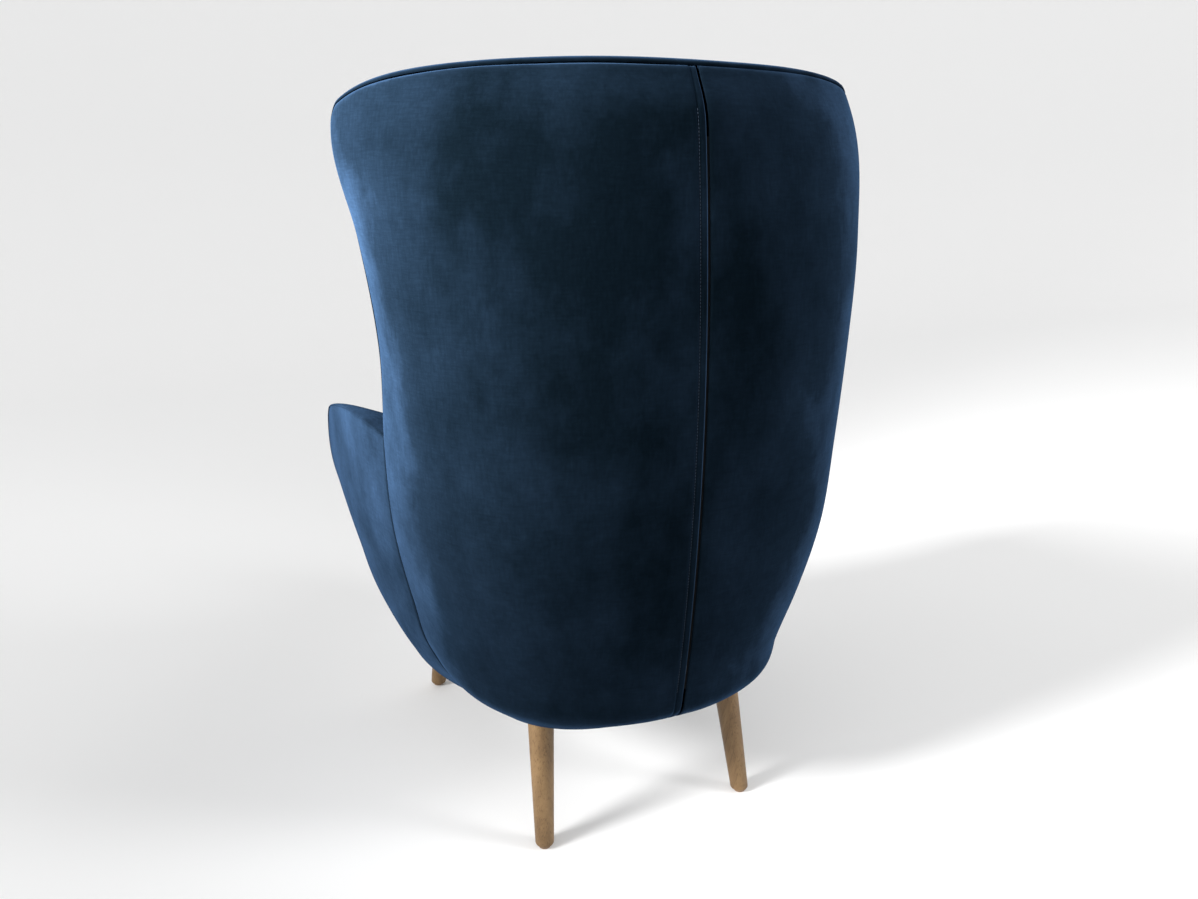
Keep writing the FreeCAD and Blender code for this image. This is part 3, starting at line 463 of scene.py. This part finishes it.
def oak_material(name, lean):
    """Oiled oak with its grain along the leg; lean is the turn of the leg's axis from upright."""
    material, nodes, links, shader = node_material(name)
    place = nodes.new("ShaderNodeTexCoord").outputs["Object"]
    along = stretched(nodes, links, place, (1, 1, 1), lean)
    long_grain = stretched(nodes, links, along, (60, 60, 3.2))
    rings = add_noise(nodes, links, long_grain, 1.0, 5.0, 0.62)
    wood = add_ramp(nodes, links, rings, [
        (0.28, (0.110, 0.062, 0.026)),
        (0.74, (0.215, 0.132, 0.060)),
        (0.50, (0.165, 0.099, 0.043)),
    ])
    fine = add_noise(nodes, links, stretched(nodes, links, along, (520, 520, 12)), 1.0, 3.0)
    pores = add_ramp(nodes, links, fine, [(0.33, (0.55, 0.50, 0.45)), (0.48, (1, 1, 1))])
    mix = nodes.new("ShaderNodeMix")
    mix.data_type = "RGBA"
    mix.blend_type = "MULTIPLY"
    mix.inputs["Factor"].default_value = 0.75
    links.new(wood, mix.inputs["A"])
    links.new(pores, mix.inputs["B"])
    links.new(mix.outputs["Result"], shader.inputs["Base Color"])
    shader.inputs["Roughness"].default_value = 0.48
    shader.inputs["Specular IOR Level"].default_value = 0.35
    links.new(add_bump(nodes, links, fine, 0.25, 0.0004), shader.inputs["Normal"])
    return material


VELVET = velvet_material("velvet_navy")
# Darker copy of the same velvet for the padded rims and the cushion's welts: painted shade.
VELVET_BAND_PAINTED_SHADE = velvet_material("velvet_navy_band_painted_shade", 0.75)
THREAD = plain_cloth_material("thread_navy", (0.012, 0.024, 0.048), 900.0)
LINING = plain_cloth_material("lining_black", (0.018, 0.018, 0.020), 700.0)
ZIP_TAPE = plain_cloth_material("zip_tape_navy", (0.0016, 0.0024, 0.0042), 800.0)
FOAM = plain_cloth_material("foam_cream", (0.62, 0.56, 0.42), 500.0)
ZIP_PLASTIC = metal_material("zip_plastic_navy", (0.0016, 0.0022, 0.0038), 0.0, 0.60)
ZIP_METAL = metal_material("zip_metal_dark", (0.012, 0.014, 0.018), 0.3, 0.55)
FRAME_STEEL = metal_material("frame_black_enamel", (0.015, 0.015, 0.016), 0.2, 0.42)
BARE_STEEL = metal_material("bare_steel", (0.42, 0.42, 0.43), 1.0, 0.35)
GLIDE = metal_material("glide_brown_plastic", (0.17, 0.10, 0.05), 0.0, 0.55)


def finish(obj, material, slot, *nodes, body="chair"):
    """Material, body and the CAD nodes that a piece stands for; the slot argument is not used."""
    obj.data.materials.clear()
    obj.data.materials.append(material)
    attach(obj, body)
    if nodes:
        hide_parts(*nodes)
    return obj


# ------------------------------------------------------------------ covers of the shell
SEAM_DEPTH = 3.0 * MM
SEAM_REACH = 9.0 * MM
INSIDE = (0.0, 0.0, 0.7)


def hem_rows(points, centre, count=6, width=0.022):
    """Rows that turn a cover's lowest row under the seat."""
    start = points[0]
    toward = np.asarray(centre) - start
    toward[..., 2] = 0
    toward /= np.linalg.norm(toward, axis=-1, keepdims=True)
    rows = []
    for step in np.linspace(1, 0, count, endpoint=False):
        down = -0.0030 * math.sin(math.pi * step)
        rows.append(start + toward * width * step + np.array((0, 0, down)))
    return np.concatenate([np.array(rows), points], axis=0)


def outer_back(side):
    """Half of the back's outer cover, from the zip's slit to the wing's front edge."""
    rows, columns = 230, 170
    across = soft_ends(columns)
    lift = soft_ends(rows, 0.35)
    shoulder = rows_at(SHELL_ROWS, np.full(1, 0.7))[2][0]
    first_u = SLIT_HALF / (3 * shoulder)
    u = side * (first_u + (1 - first_u) * across)
    top = shell_top(u, 0)
    z = HEM_Z + (top[None, :] - HEM_Z) * lift[:, None]
    points = shell_points(np.broadcast_to(u, z.shape), z)[0]
    points[:, 0, 0] = side * SLIT_HALF
    normal = outward(points, INSIDE)
    from_slit = np.abs(points[..., 0]) - SLIT_HALF
    near_slit = np.abs(u)[None, :] < 0.2
    below_top = np.clip((SLIT_TOP - points[..., 2]) / 0.010, 0, 1)
    depth = pull_in(edge_distance(points, 0, 1), SEAM_DEPTH, SEAM_REACH)
    depth = np.maximum(depth, pull_in(edge_distance(points, 1, 1), SEAM_DEPTH, SEAM_REACH))
    slit = pull_in(np.where(near_slit, from_slit, 1.0), 1.3 * MM, 4.0 * MM)
    seam = pull_in(np.where(near_slit, from_slit, 1.0), 1.6 * MM, 4.0 * MM)
    depth = np.maximum(depth, slit * below_top + seam * (1 - below_top))
    if side > 0:
        depth += stitch_groove(points, from_slit)
    points = points - normal * depth[..., None]
    off_zip = np.where(near_slit, np.clip((from_slit - 0.012) / 0.030, 0, 1), 1.0)
    points = points + normal * (off_zip * swell(points, 0.7 * MM, 0.22, 11 + side))[..., None]
    return hem_rows(points, (0, 0.02, HEM_Z))


def stitch_groove(points, from_slit):
    """The stitch line beside the zip, and the fold that runs from its top to the top seam."""
    line = 10.5 * MM
    z = points[..., 2]
    lean = np.clip((z - SLIT_TOP) / (SEAM_TOP - SLIT_TOP), 0, 1)
    centre = line * (1 - 0.25 * lean)
    groove = 1.5 * MM * np.exp(-(((from_slit - centre) / (1.5 * MM)) ** 2))
    fold = lean * 1.2 * MM * np.exp(-(((from_slit - 4 * MM) / (2.5 * MM)) ** 2))
    return groove + fold


def band(name, outside_path, inside_path, rise, centre, count=26):
    """Padded strip between an outside seam and an inside seam, crowned away from the padding."""
    across = soft_ends(count, 0.6)
    flat = outside_path[:, None] * (1 - across[None, :, None]) + inside_path[:, None] * across[None, :, None]
    normal = outward(flat, centre)
    crown = rise * np.sqrt(np.clip(1 - np.abs(2 * across - 1) ** 3.2, 0, 1))
    points = flat + normal * crown[None, :, None]
    points = points + normal * swell(points, 0.5 * MM, 0.16, 31)[..., None]
    return cloth_grid(name, points, centre)


def rim_path(layer):
    """The shell's edge: up the left wing's front, across the top and down the right wing."""
    heights_count = 110
    low = ARM_TOP - (0.012 if layer == 0 else 0.036)
    corner = WING_CORNER if layer == 0 else 0.7 * WING_CORNER
    u = np.concatenate([soft_ends(220, 0.8)[::-1], -soft_ends(220, 0.8)[1:]])
    top = shell_top(u, layer, corner=corner)
    over = shell_points(u, top)[layer]
    z = low + (top[0] - low) * np.linspace(0, 1, heights_count, endpoint=False)
    left = shell_points(np.ones_like(z), z)[layer]
    right = shell_points(-np.ones_like(z), z)[layer]
    return np.concatenate([left, over, right[::-1]])


def inner_panel(u_low, u_high, columns):
    """A panel of the shell's inside, puffed between its seams."""
    rows = 170
    across = soft_ends(columns)
    u = u_low + (u_high - u_low) * across
    top = shell_top(u, 1, corner=0.7 * WING_CORNER)
    low = DECK_Z - 0.02
    z = low + (top[None, :] - low) * soft_ends(rows, 0.35)[:, None]
    points = shell_points(np.broadcast_to(u, z.shape), z)[1]
    normal = -outward(points, INSIDE)
    width = np.sin(math.pi * across) ** 0.6
    height = np.clip((top[None, :] - z) / 0.10, 0, 1) ** 0.5
    puff = 5.0 * MM * width[None, :] * height
    depth = pull_in(edge_distance(points, 0, 1), SEAM_DEPTH, SEAM_REACH)
    for end in (0, 1):
        depth = np.maximum(depth, pull_in(edge_distance(points, 1, end), SEAM_DEPTH, SEAM_REACH))
    points = points + normal * (puff - depth)[..., None]
    return points + normal * swell(points, 0.8 * MM, 0.18, 47)[..., None]


def build_shell_covers():
    for side, word in ((1, "left"), (-1, "right")):
        cover = cloth_grid(f"cover_outer_back_{word}", outer_back(side), INSIDE, 1.3 * MM)
        finish(cover, VELVET, "velvet", f"outer_back_cover_{word}")
    rim = band("cover_rim", rim_path(0), rim_path(1), 9.0 * MM, INSIDE)
    # The top and wing rim in the darker velvet copy: painted shade.
    finish(rim, VELVET_BAND_PAINTED_SHADE, "velvet", "top_band", "wing_band_left", "wing_band_right")
    behind = (0.0, 2.0, 0.7)
    middle = cloth_grid("cover_inner_back", inner_panel(-SPLIT_U, SPLIT_U, 150), behind)
    finish(middle, VELVET, "velvet", "inner_back_cover", "back_foam")
    wing = cloth_grid("cover_inner_wing_left", inner_panel(SPLIT_U, 1.0, 110), (2.0, 0.6, 0.7))
    other = mirrored(wing, "cover_inner_wing_right")
    finish(wing, VELVET, "velvet", "inner_wing_cover_left", "wing_foam_left")
    finish(other, VELVET, "velvet", "inner_wing_cover_right", "wing_foam_right")


# ------------------------------------------------------------------ covers of the arms
def outer_arm():
    rows, columns = 130, 130
    t = soft_ends(columns)
    top = arm_top(t, 0)
    z = HEM_Z + (top[None, :] - HEM_Z) * soft_ends(rows, 0.35)[:, None]
    points = arm_points(np.broadcast_to(t, z.shape), z)[0]
    normal = outward(points, (0, -0.15, 0.4))
    depth = pull_in(edge_distance(points, 0, 1), SEAM_DEPTH, SEAM_REACH)
    depth = np.maximum(depth, pull_in(edge_distance(points, 1, 1), SEAM_DEPTH, SEAM_REACH))
    depth = np.maximum(depth, pull_in(edge_distance(points, 1, 0), SEAM_DEPTH, SEAM_REACH))
    points = points - normal * depth[..., None]
    points = points + normal * swell(points, 0.8 * MM, 0.20, 5)[..., None]
    return hem_rows(points, (0, 0.02, HEM_Z))


def arm_rim_path(layer):
    """The arm's edge: forward along its top, round the front corner and down to the hem."""
    t = soft_ends(200, 0.8)
    top = arm_top(t, layer)
    over = arm_points(t, top)[layer]
    z = HEM_Z + (top[-1] - HEM_Z) * np.linspace(1, 0, 110)[1:]
    front = arm_points(np.ones_like(z), z)[layer]
    return np.concatenate([over, front])


def inner_arm():
    rows, columns = 90, 120
    t = soft_ends(columns)
    top = arm_top(t, 1)
    low = DECK_Z - 0.02
    z = low + (top[None, :] - low) * soft_ends(rows, 0.35)[:, None]
    points = arm_points(np.broadcast_to(t, z.shape), z)[1]
    normal = -outward(points, (0, -0.15, 0.4))
    depth = pull_in(edge_distance(points, 0, 1), SEAM_DEPTH, SEAM_REACH)
    for end in (0, 1):
        depth = np.maximum(depth, pull_in(edge_distance(points, 1, end), SEAM_DEPTH, SEAM_REACH))
    share = np.clip((top[None, :] - z) / 0.08, 0, 1) ** 0.5
    puff = 2.5 * MM * share * (np.sin(math.pi * t) ** 0.5)[None, :]
    points = points + normal * (puff - depth)[..., None]
    return points


def build_arm_covers():
    centre = (0.27, -0.15, 0.4)
    pieces = (
        ("cover_outer_arm", cloth_grid("cover_outer_arm_left", outer_arm(), (0, -0.15, 0.4)),
         ("outer_arm_cover",), VELVET),
        # The arm rim in the darker velvet copy: painted shade.
        ("cover_arm_rim", band("cover_arm_rim_left", arm_rim_path(0), arm_rim_path(1), 8.0 * MM, centre),
         ("arm_band",), VELVET_BAND_PAINTED_SHADE),
        ("cover_inner_arm", cloth_grid("cover_inner_arm_left", inner_arm(), (2.0, -0.15, 0.5)),
         ("inner_arm_cover", "arm_foam"), VELVET),
    )
    for name, left, nodes, material in pieces:
        right = mirrored(left, f"{name}_right")
        for obj, word in ((left, "left"), (right, "right")):
            finish(obj, material, "velvet", *[f"{node}_{word}" for node in nodes])


# ------------------------------------------------------------------ seat
def front_border():
    """Padded front between the arms, under the cushion."""
    low_corner, high_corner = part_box("front_cover")
    rows, columns = 50, 120
    z = np.linspace(low_corner.z, high_corner.z, rows)
    half = arm_points(np.full(rows, 0.95), z)[1][..., 0] + 0.002
    across = 2 * soft_ends(columns) - 1
    x = half[:, None] * across[None, :]
    front = low_corner.y - 0.004 * (1 - np.abs(across[None, :]) ** 6) * np.ones_like(x)
    points = np.stack([x, front, np.broadcast_to(z[:, None], x.shape)], -1)
    normal = outward(points, (0, 0, 0.27))
    depth = pull_in(edge_distance(points, 1, 0), 2 * MM, 6 * MM)
    depth += pull_in(edge_distance(points, 1, 1), 2 * MM, 6 * MM)
    depth += pull_in(edge_distance(points, 0, 1), 3 * MM, 10 * MM)
    points = points - normal * depth[..., None]
    roof = [points[-1] + np.array((0, 0.02 * step, 0.0)) for step in (0.4, 1.0, 1.8)]
    points = np.concatenate([points, np.array(roof)], axis=0)
    border = cloth_grid("cover_front", hem_rows(points, (0, 0.02, low_corner.z)), (0, 0, 0.27))
    finish(border, VELVET, "velvet", "front_cover", "front_foam")


def cushion_outline(inset):
    """Plan of the seat cushion: round its rear corners, straight at the front."""
    low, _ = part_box("seat_cushion_foam")
    section = 0.470
    u = np.linspace(-1, 1, 61)
    rear = shell_points(u, np.full(u.shape, section))
    across = rear[1] - rear[0]
    across /= np.linalg.norm(across, axis=-1, keepdims=True)
    rear = rear[1] + across * (0.010 + inset)
    arm_in = arm_points(0.95, section)[1][0] - 0.010 - inset
    front_y = low.y + inset
    corner = 0.030
    turn = np.linspace(0, math.pi / 2, 8)
    turn_x = arm_in - corner + corner * np.cos(-turn)
    right_front = np.stack([turn_x, front_y + corner + corner * np.sin(-turn)], -1)
    sides = np.linspace(rear[-1, :2], right_front[0], 26)[1:-1]
    front = np.linspace(right_front[-1], right_front[-1] * (-1, 1), 40)[1:-1]
    left_front = right_front[::-1] * (-1, 1)
    other = sides[::-1] * (-1, 1)
    return np.concatenate([rear[:, :2], sides, right_front, front, left_front, other])


def cushion_mesh(name, pulls, low, high):
    """Closed loft of the cushion's outline between two heights; pulls are (share of height, inset)."""
    rings = []
    for share, inset in pulls:
        plan = cushion_outline(inset)
        rings.append(np.column_stack([plan, np.full(len(plan), low + (high - low) * share)]))
    middle = np.array((0, rings[0][:, 1].mean()))
    caps_low, caps_high = [], []
    for shrink in (0.85, 0.65, 0.42, 0.18):
        for ring, store in ((rings[0], caps_low), (rings[-1], caps_high)):
            plan = middle + (ring[:, :2] - middle) * shrink
            store.append(np.column_stack([plan, ring[:, 2]]))
    stack = caps_low[::-1] + rings + caps_high
    count = len(rings[0])
    vertices = np.concatenate(stack)
    faces = grid_faces(len(stack), count, wrap_columns=True)
    faces += [tuple(range(count))[::-1], tuple(range((len(stack) - 1) * count, len(stack) * count))]
    mesh = mesh_from(name, vertices, faces)
    fixer = bmesh.new()
    fixer.from_mesh(mesh)
    bmesh.ops.recalc_face_normals(fixer, faces=fixer.faces)
    fixer.to_mesh(mesh)
    fixer.free()
    return new_object(name, mesh)


def apply_modifiers(obj):
    graph = bpy.context.evaluated_depsgraph_get()
    mesh = bpy.data.meshes.new_from_object(obj.evaluated_get(graph))
    obj.modifiers.clear()
    obj.data = mesh


def inflate(obj, voxel, pressure, cap, frames=20):
    """Lets a pad swell under inner pressure by cloth simulation, no point moving further than cap."""
    remesh = obj.modifiers.new("remesh", "REMESH")
    remesh.mode = "VOXEL"
    remesh.voxel_size = voxel
    apply_modifiers(obj)
    start = np.empty(len(obj.data.vertices) * 3)
    obj.data.vertices.foreach_get("co", start)
    cloth = obj.modifiers.new("cloth", "CLOTH")
    cloth.settings.use_pressure = True
    cloth.settings.uniform_pressure_force = pressure
    cloth.settings.tension_stiffness = 12
    cloth.settings.compression_stiffness = 12
    cloth.settings.bending_stiffness = 6.0
    cloth.settings.effector_weights.gravity = 0
    cloth.point_cache.frame_start = 1
    cloth.point_cache.frame_end = frames
    for number in range(1, frames + 1):
        bpy.context.scene.frame_set(number)
    graph = bpy.context.evaluated_depsgraph_get()
    swollen = bpy.data.meshes.new_from_object(obj.evaluated_get(graph))
    end = np.empty(len(swollen.vertices) * 3)
    swollen.vertices.foreach_get("co", end)
    move = (end - start).reshape(-1, 3)
    length = np.linalg.norm(move, axis=1, keepdims=True)
    move *= np.minimum(1, cap / np.maximum(length, 1e-9))
    obj.modifiers.clear()
    obj.data.vertices.foreach_set("co", (start.reshape(-1, 3) + move).ravel())
    obj.data.update()
    bpy.context.scene.frame_set(1)


def seat_cushion():
    low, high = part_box("seat_cushion_cover")
    below_middle = ((0.0, 0.016), (0.06, 0.009), (0.14, 0.007))
    above_middle = ((0.86, 0.007), (0.94, 0.009), (1.0, 0.016))
    pulls = (*below_middle, (0.5, 0.006), *above_middle)
    body_low = low.z + 0.006
    body_high = high.z - 0.010
    cushion = cushion_mesh("cushion_seat", pulls, body_low, body_high)
    inflate(cushion, 0.006, 3.0, 0.022)
    calm = cushion.modifiers.new("calm", "SMOOTH")
    calm.factor = 0.6
    calm.iterations = 14
    apply_modifiers(cushion)
    fit_to_seat(cushion, low, high)
    finish(cushion, VELVET, "velvet", "seat_cushion_cover", "seat_cushion_foam", body="cushion")
    cushion.data.polygons.foreach_set("use_smooth", [True] * len(cushion.data.polygons))
    cushion.modifiers.new("finer", "SUBSURF").levels = 1
    for share, word in ((0.08, "low"), (0.90, "high")):
        height = body_low + (body_high - body_low) * share
        welt_on(cushion, f"cushion_welt_{word}", height)


def fit_to_seat(obj, low, high):
    """Keeps the swollen cushion flat underneath and inside the space that its CAD solid holds."""
    coordinates = np.empty(len(obj.data.vertices) * 3)
    obj.data.vertices.foreach_get("co", coordinates)
    coordinates = coordinates.reshape(-1, 3)
    coordinates[:, 2] = np.maximum(coordinates[:, 2], low.z)
    crown = high.z + 0.012
    over = coordinates[:, 2] > crown
    coordinates[over, 2] = crown
    coordinates[:, 0] = np.clip(coordinates[:, 0], low.x - 0.004, high.x + 0.004)
    coordinates[:, 1] = np.clip(coordinates[:, 1], low.y - 0.006, high.y + 0.004)
    obj.data.vertices.foreach_set("co", coordinates.ravel())
    obj.data.update()


def welt_on(obj, name, height):
    """Covered cord sewn round the cushion: a tube laid on the cushion's side at one height."""
    graph = bpy.context.evaluated_depsgraph_get()
    target = obj.evaluated_get(graph)
    outline = cushion_outline(0.0)
    centre = outline.mean(axis=0)
    path = []
    for x, y in outline:
        inward = Vector((centre[0] - x, centre[1] - y, 0)).normalized()
        start = Vector((x, y, height)) - inward * 0.08
        hit, place, _, _ = target.ray_cast(start, inward)
        if hit:
            path.append(place + inward * 0.0005)
    path = np.array([tuple(place) for place in path])
    for _ in range(3):
        path = 0.5 * path + 0.25 * (np.roll(path, 1, axis=0) + np.roll(path, -1, axis=0))
    welt = tube(name, path, 2.6 * MM, 10, closed=True)
    # The welt in the darker velvet copy: painted shade.
    finish(welt, VELVET_BAND_PAINTED_SHADE, "velvet", body="cushion")


# ------------------------------------------------------------------ zip and stitching
def stitches():
    """Thread of the stitch line beside the zip: short stitches that sink into the groove."""
    line = SLIT_HALF + 10.5 * MM
    pitch, length, radius = 4.2 * MM, 3.0 * MM, 0.38 * MM
    count = int((SLIT_TOP - ZIP_LOW) / pitch)
    vertices, faces = [], []
    sides, rings = 6, 5
    for index in range(count):
        z0 = ZIP_LOW + index * pitch
        for ring in range(rings):
            share = ring / (rings - 1)
            z = z0 + length * share
            y = float(shell_points(np.full(1, 0.02), np.full(1, z))[0][0, 1]) - 0.9 * MM
            bulge = math.sin(math.pi * share)
            for k in range(sides):
                angle = 2 * math.pi * k / sides
                thick = radius * (0.35 + 0.65 * bulge)
                vertices.append((line + thick * math.cos(angle),
                                 y + 0.35 * MM * bulge + thick * math.sin(angle), z))
        base = index * sides * rings
        for ring in range(rings - 1):
            for k in range(sides):
                a = base + ring * sides + k
                b = base + ring * sides + (k + 1) % sides
                faces.append((a, b, b + sides, a + sides))
        faces.append(tuple(base + k for k in range(sides))[::-1])
        faces.append(tuple(base + (rings - 1) * sides + k for k in range(sides)))
    thread = new_object("stitches_zip", mesh_from("stitches_zip", vertices, faces))
    finish(thread, THREAD, "velvet")


def carried_over_materials():
    """Materials for the CAD nodes that stay in view or are seen through gaps."""
    by_prefix = (
        ("frame_", FRAME_STEEL), ("leg_plates", FRAME_STEEL), ("leg_nuts", BARE_STEEL),
        ("leg_studs", BARE_STEEL), ("leg_glides", GLIDE), ("seat_springs", BARE_STEEL),
        ("spring_clips", BARE_STEEL), ("zip_tape", ZIP_TAPE), ("zip_coil", ZIP_PLASTIC),
        ("zip_slider", ZIP_METAL), ("zip_pull", ZIP_METAL), ("zip_stops", ZIP_METAL),
        ("base_cloth", LINING), ("seat_deck_cover", LINING), ("seat_deck_foam", FOAM),
    )
    for name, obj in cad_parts.items():
        for prefix, material in by_prefix:
            if name.startswith(prefix):
                obj.data.materials.clear()
                obj.data.materials.append(material)
    for end in ("rear", "front"):
        for word in ("left", "right"):
            name = f"leg_{end}_{word}"
            side = 1 if word == "left" else -1
            back = 1 if end == "rear" else -1
            lean = (back * LEG_LEAN_Y, -side * LEG_LEAN_X, 0)
            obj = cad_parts[name]
            obj.data.materials.clear()
            obj.data.materials.append(oak_material(f"oak_{end}_{word}", lean))


# ------------------------------------------------------------------ floor, light and camera
def stage():
    material, _, _, shader = node_material("floor_white")
    shader.inputs["Base Color"].default_value = (0.90, 0.90, 0.90, 1)
    shader.inputs["Roughness"].default_value = 0.9
    far, wall_y, bend = 14.0, -3.4, 1.2
    turns = np.linspace(0, math.pi / 2, 11)
    profile = [(far, 0.0)] + [(wall_y - bend * math.sin(turn), bend * (1 - math.cos(turn))) for turn in turns]
    profile.append((wall_y - bend, 9.0))
    floor_vertices = [(x, y, z) for y, z in profile for x in (-far, far)]
    floor_faces = [(2 * k, 2 * k + 1, 2 * k + 3, 2 * k + 2) for k in range(len(profile) - 1)]
    floor = new_object("floor", mesh_from("floor", floor_vertices, floor_faces))
    floor.data.materials.append(material)


def area_light(name, place, target, size, power, spread):
    data = bpy.data.lights.new(name, "AREA")
    data.shape = "DISK"
    data.size = size
    data.energy = power
    data.spread = math.radians(spread)
    light = bpy.data.objects.new(name, data)
    light.location = place
    light.rotation_euler = (Vector(target) - Vector(place)).to_track_quat("-Z", "Y").to_euler()
    bpy.context.scene.collection.objects.link(light)


def lights():
    world = bpy.data.worlds.new("studio")
    world.use_nodes = True
    background = world.node_tree.nodes["Background"]
    background.inputs["Color"].default_value = (1.0, 1.0, 1.0, 1)
    background.inputs["Strength"].default_value = 0.95
    bpy.context.scene.world = world
    area_light("key", (2.3, 0.35, 1.60), (0.05, 0.16, 1.04), 1.0, 40, spread=46)
    area_light("fill", (-1.9, 1.6, 1.7), (-0.15, 0.3, 0.95), 1.0, 5, spread=45)
    bpy.context.scene.view_settings.view_transform = "Standard"


def camera():
    """The photograph's view: from behind the chair's left side, a little above the arms."""
    data = bpy.data.cameras.new("camera")
    data.sensor_width = 36.0
    data.lens = 30.05
    data.clip_end = 60
    eye = bpy.data.objects.new("camera", data)
    yaw, pitch = math.radians(24.52), math.radians(15.65)
    eye.location = (0.637, 1.440, 0.988)
    look = Vector((-math.sin(yaw) * math.cos(pitch), -math.cos(yaw) * math.cos(pitch), -math.sin(pitch)))
    eye.rotation_euler = look.to_track_quat("-Z", "Y").to_euler()
    bpy.context.scene.collection.objects.link(eye)
    bpy.context.scene.camera = eye


camera()
lights()
stage()
build_shell_covers()
build_arm_covers()
front_border()
seat_cushion()
stitches()
carried_over_materials()
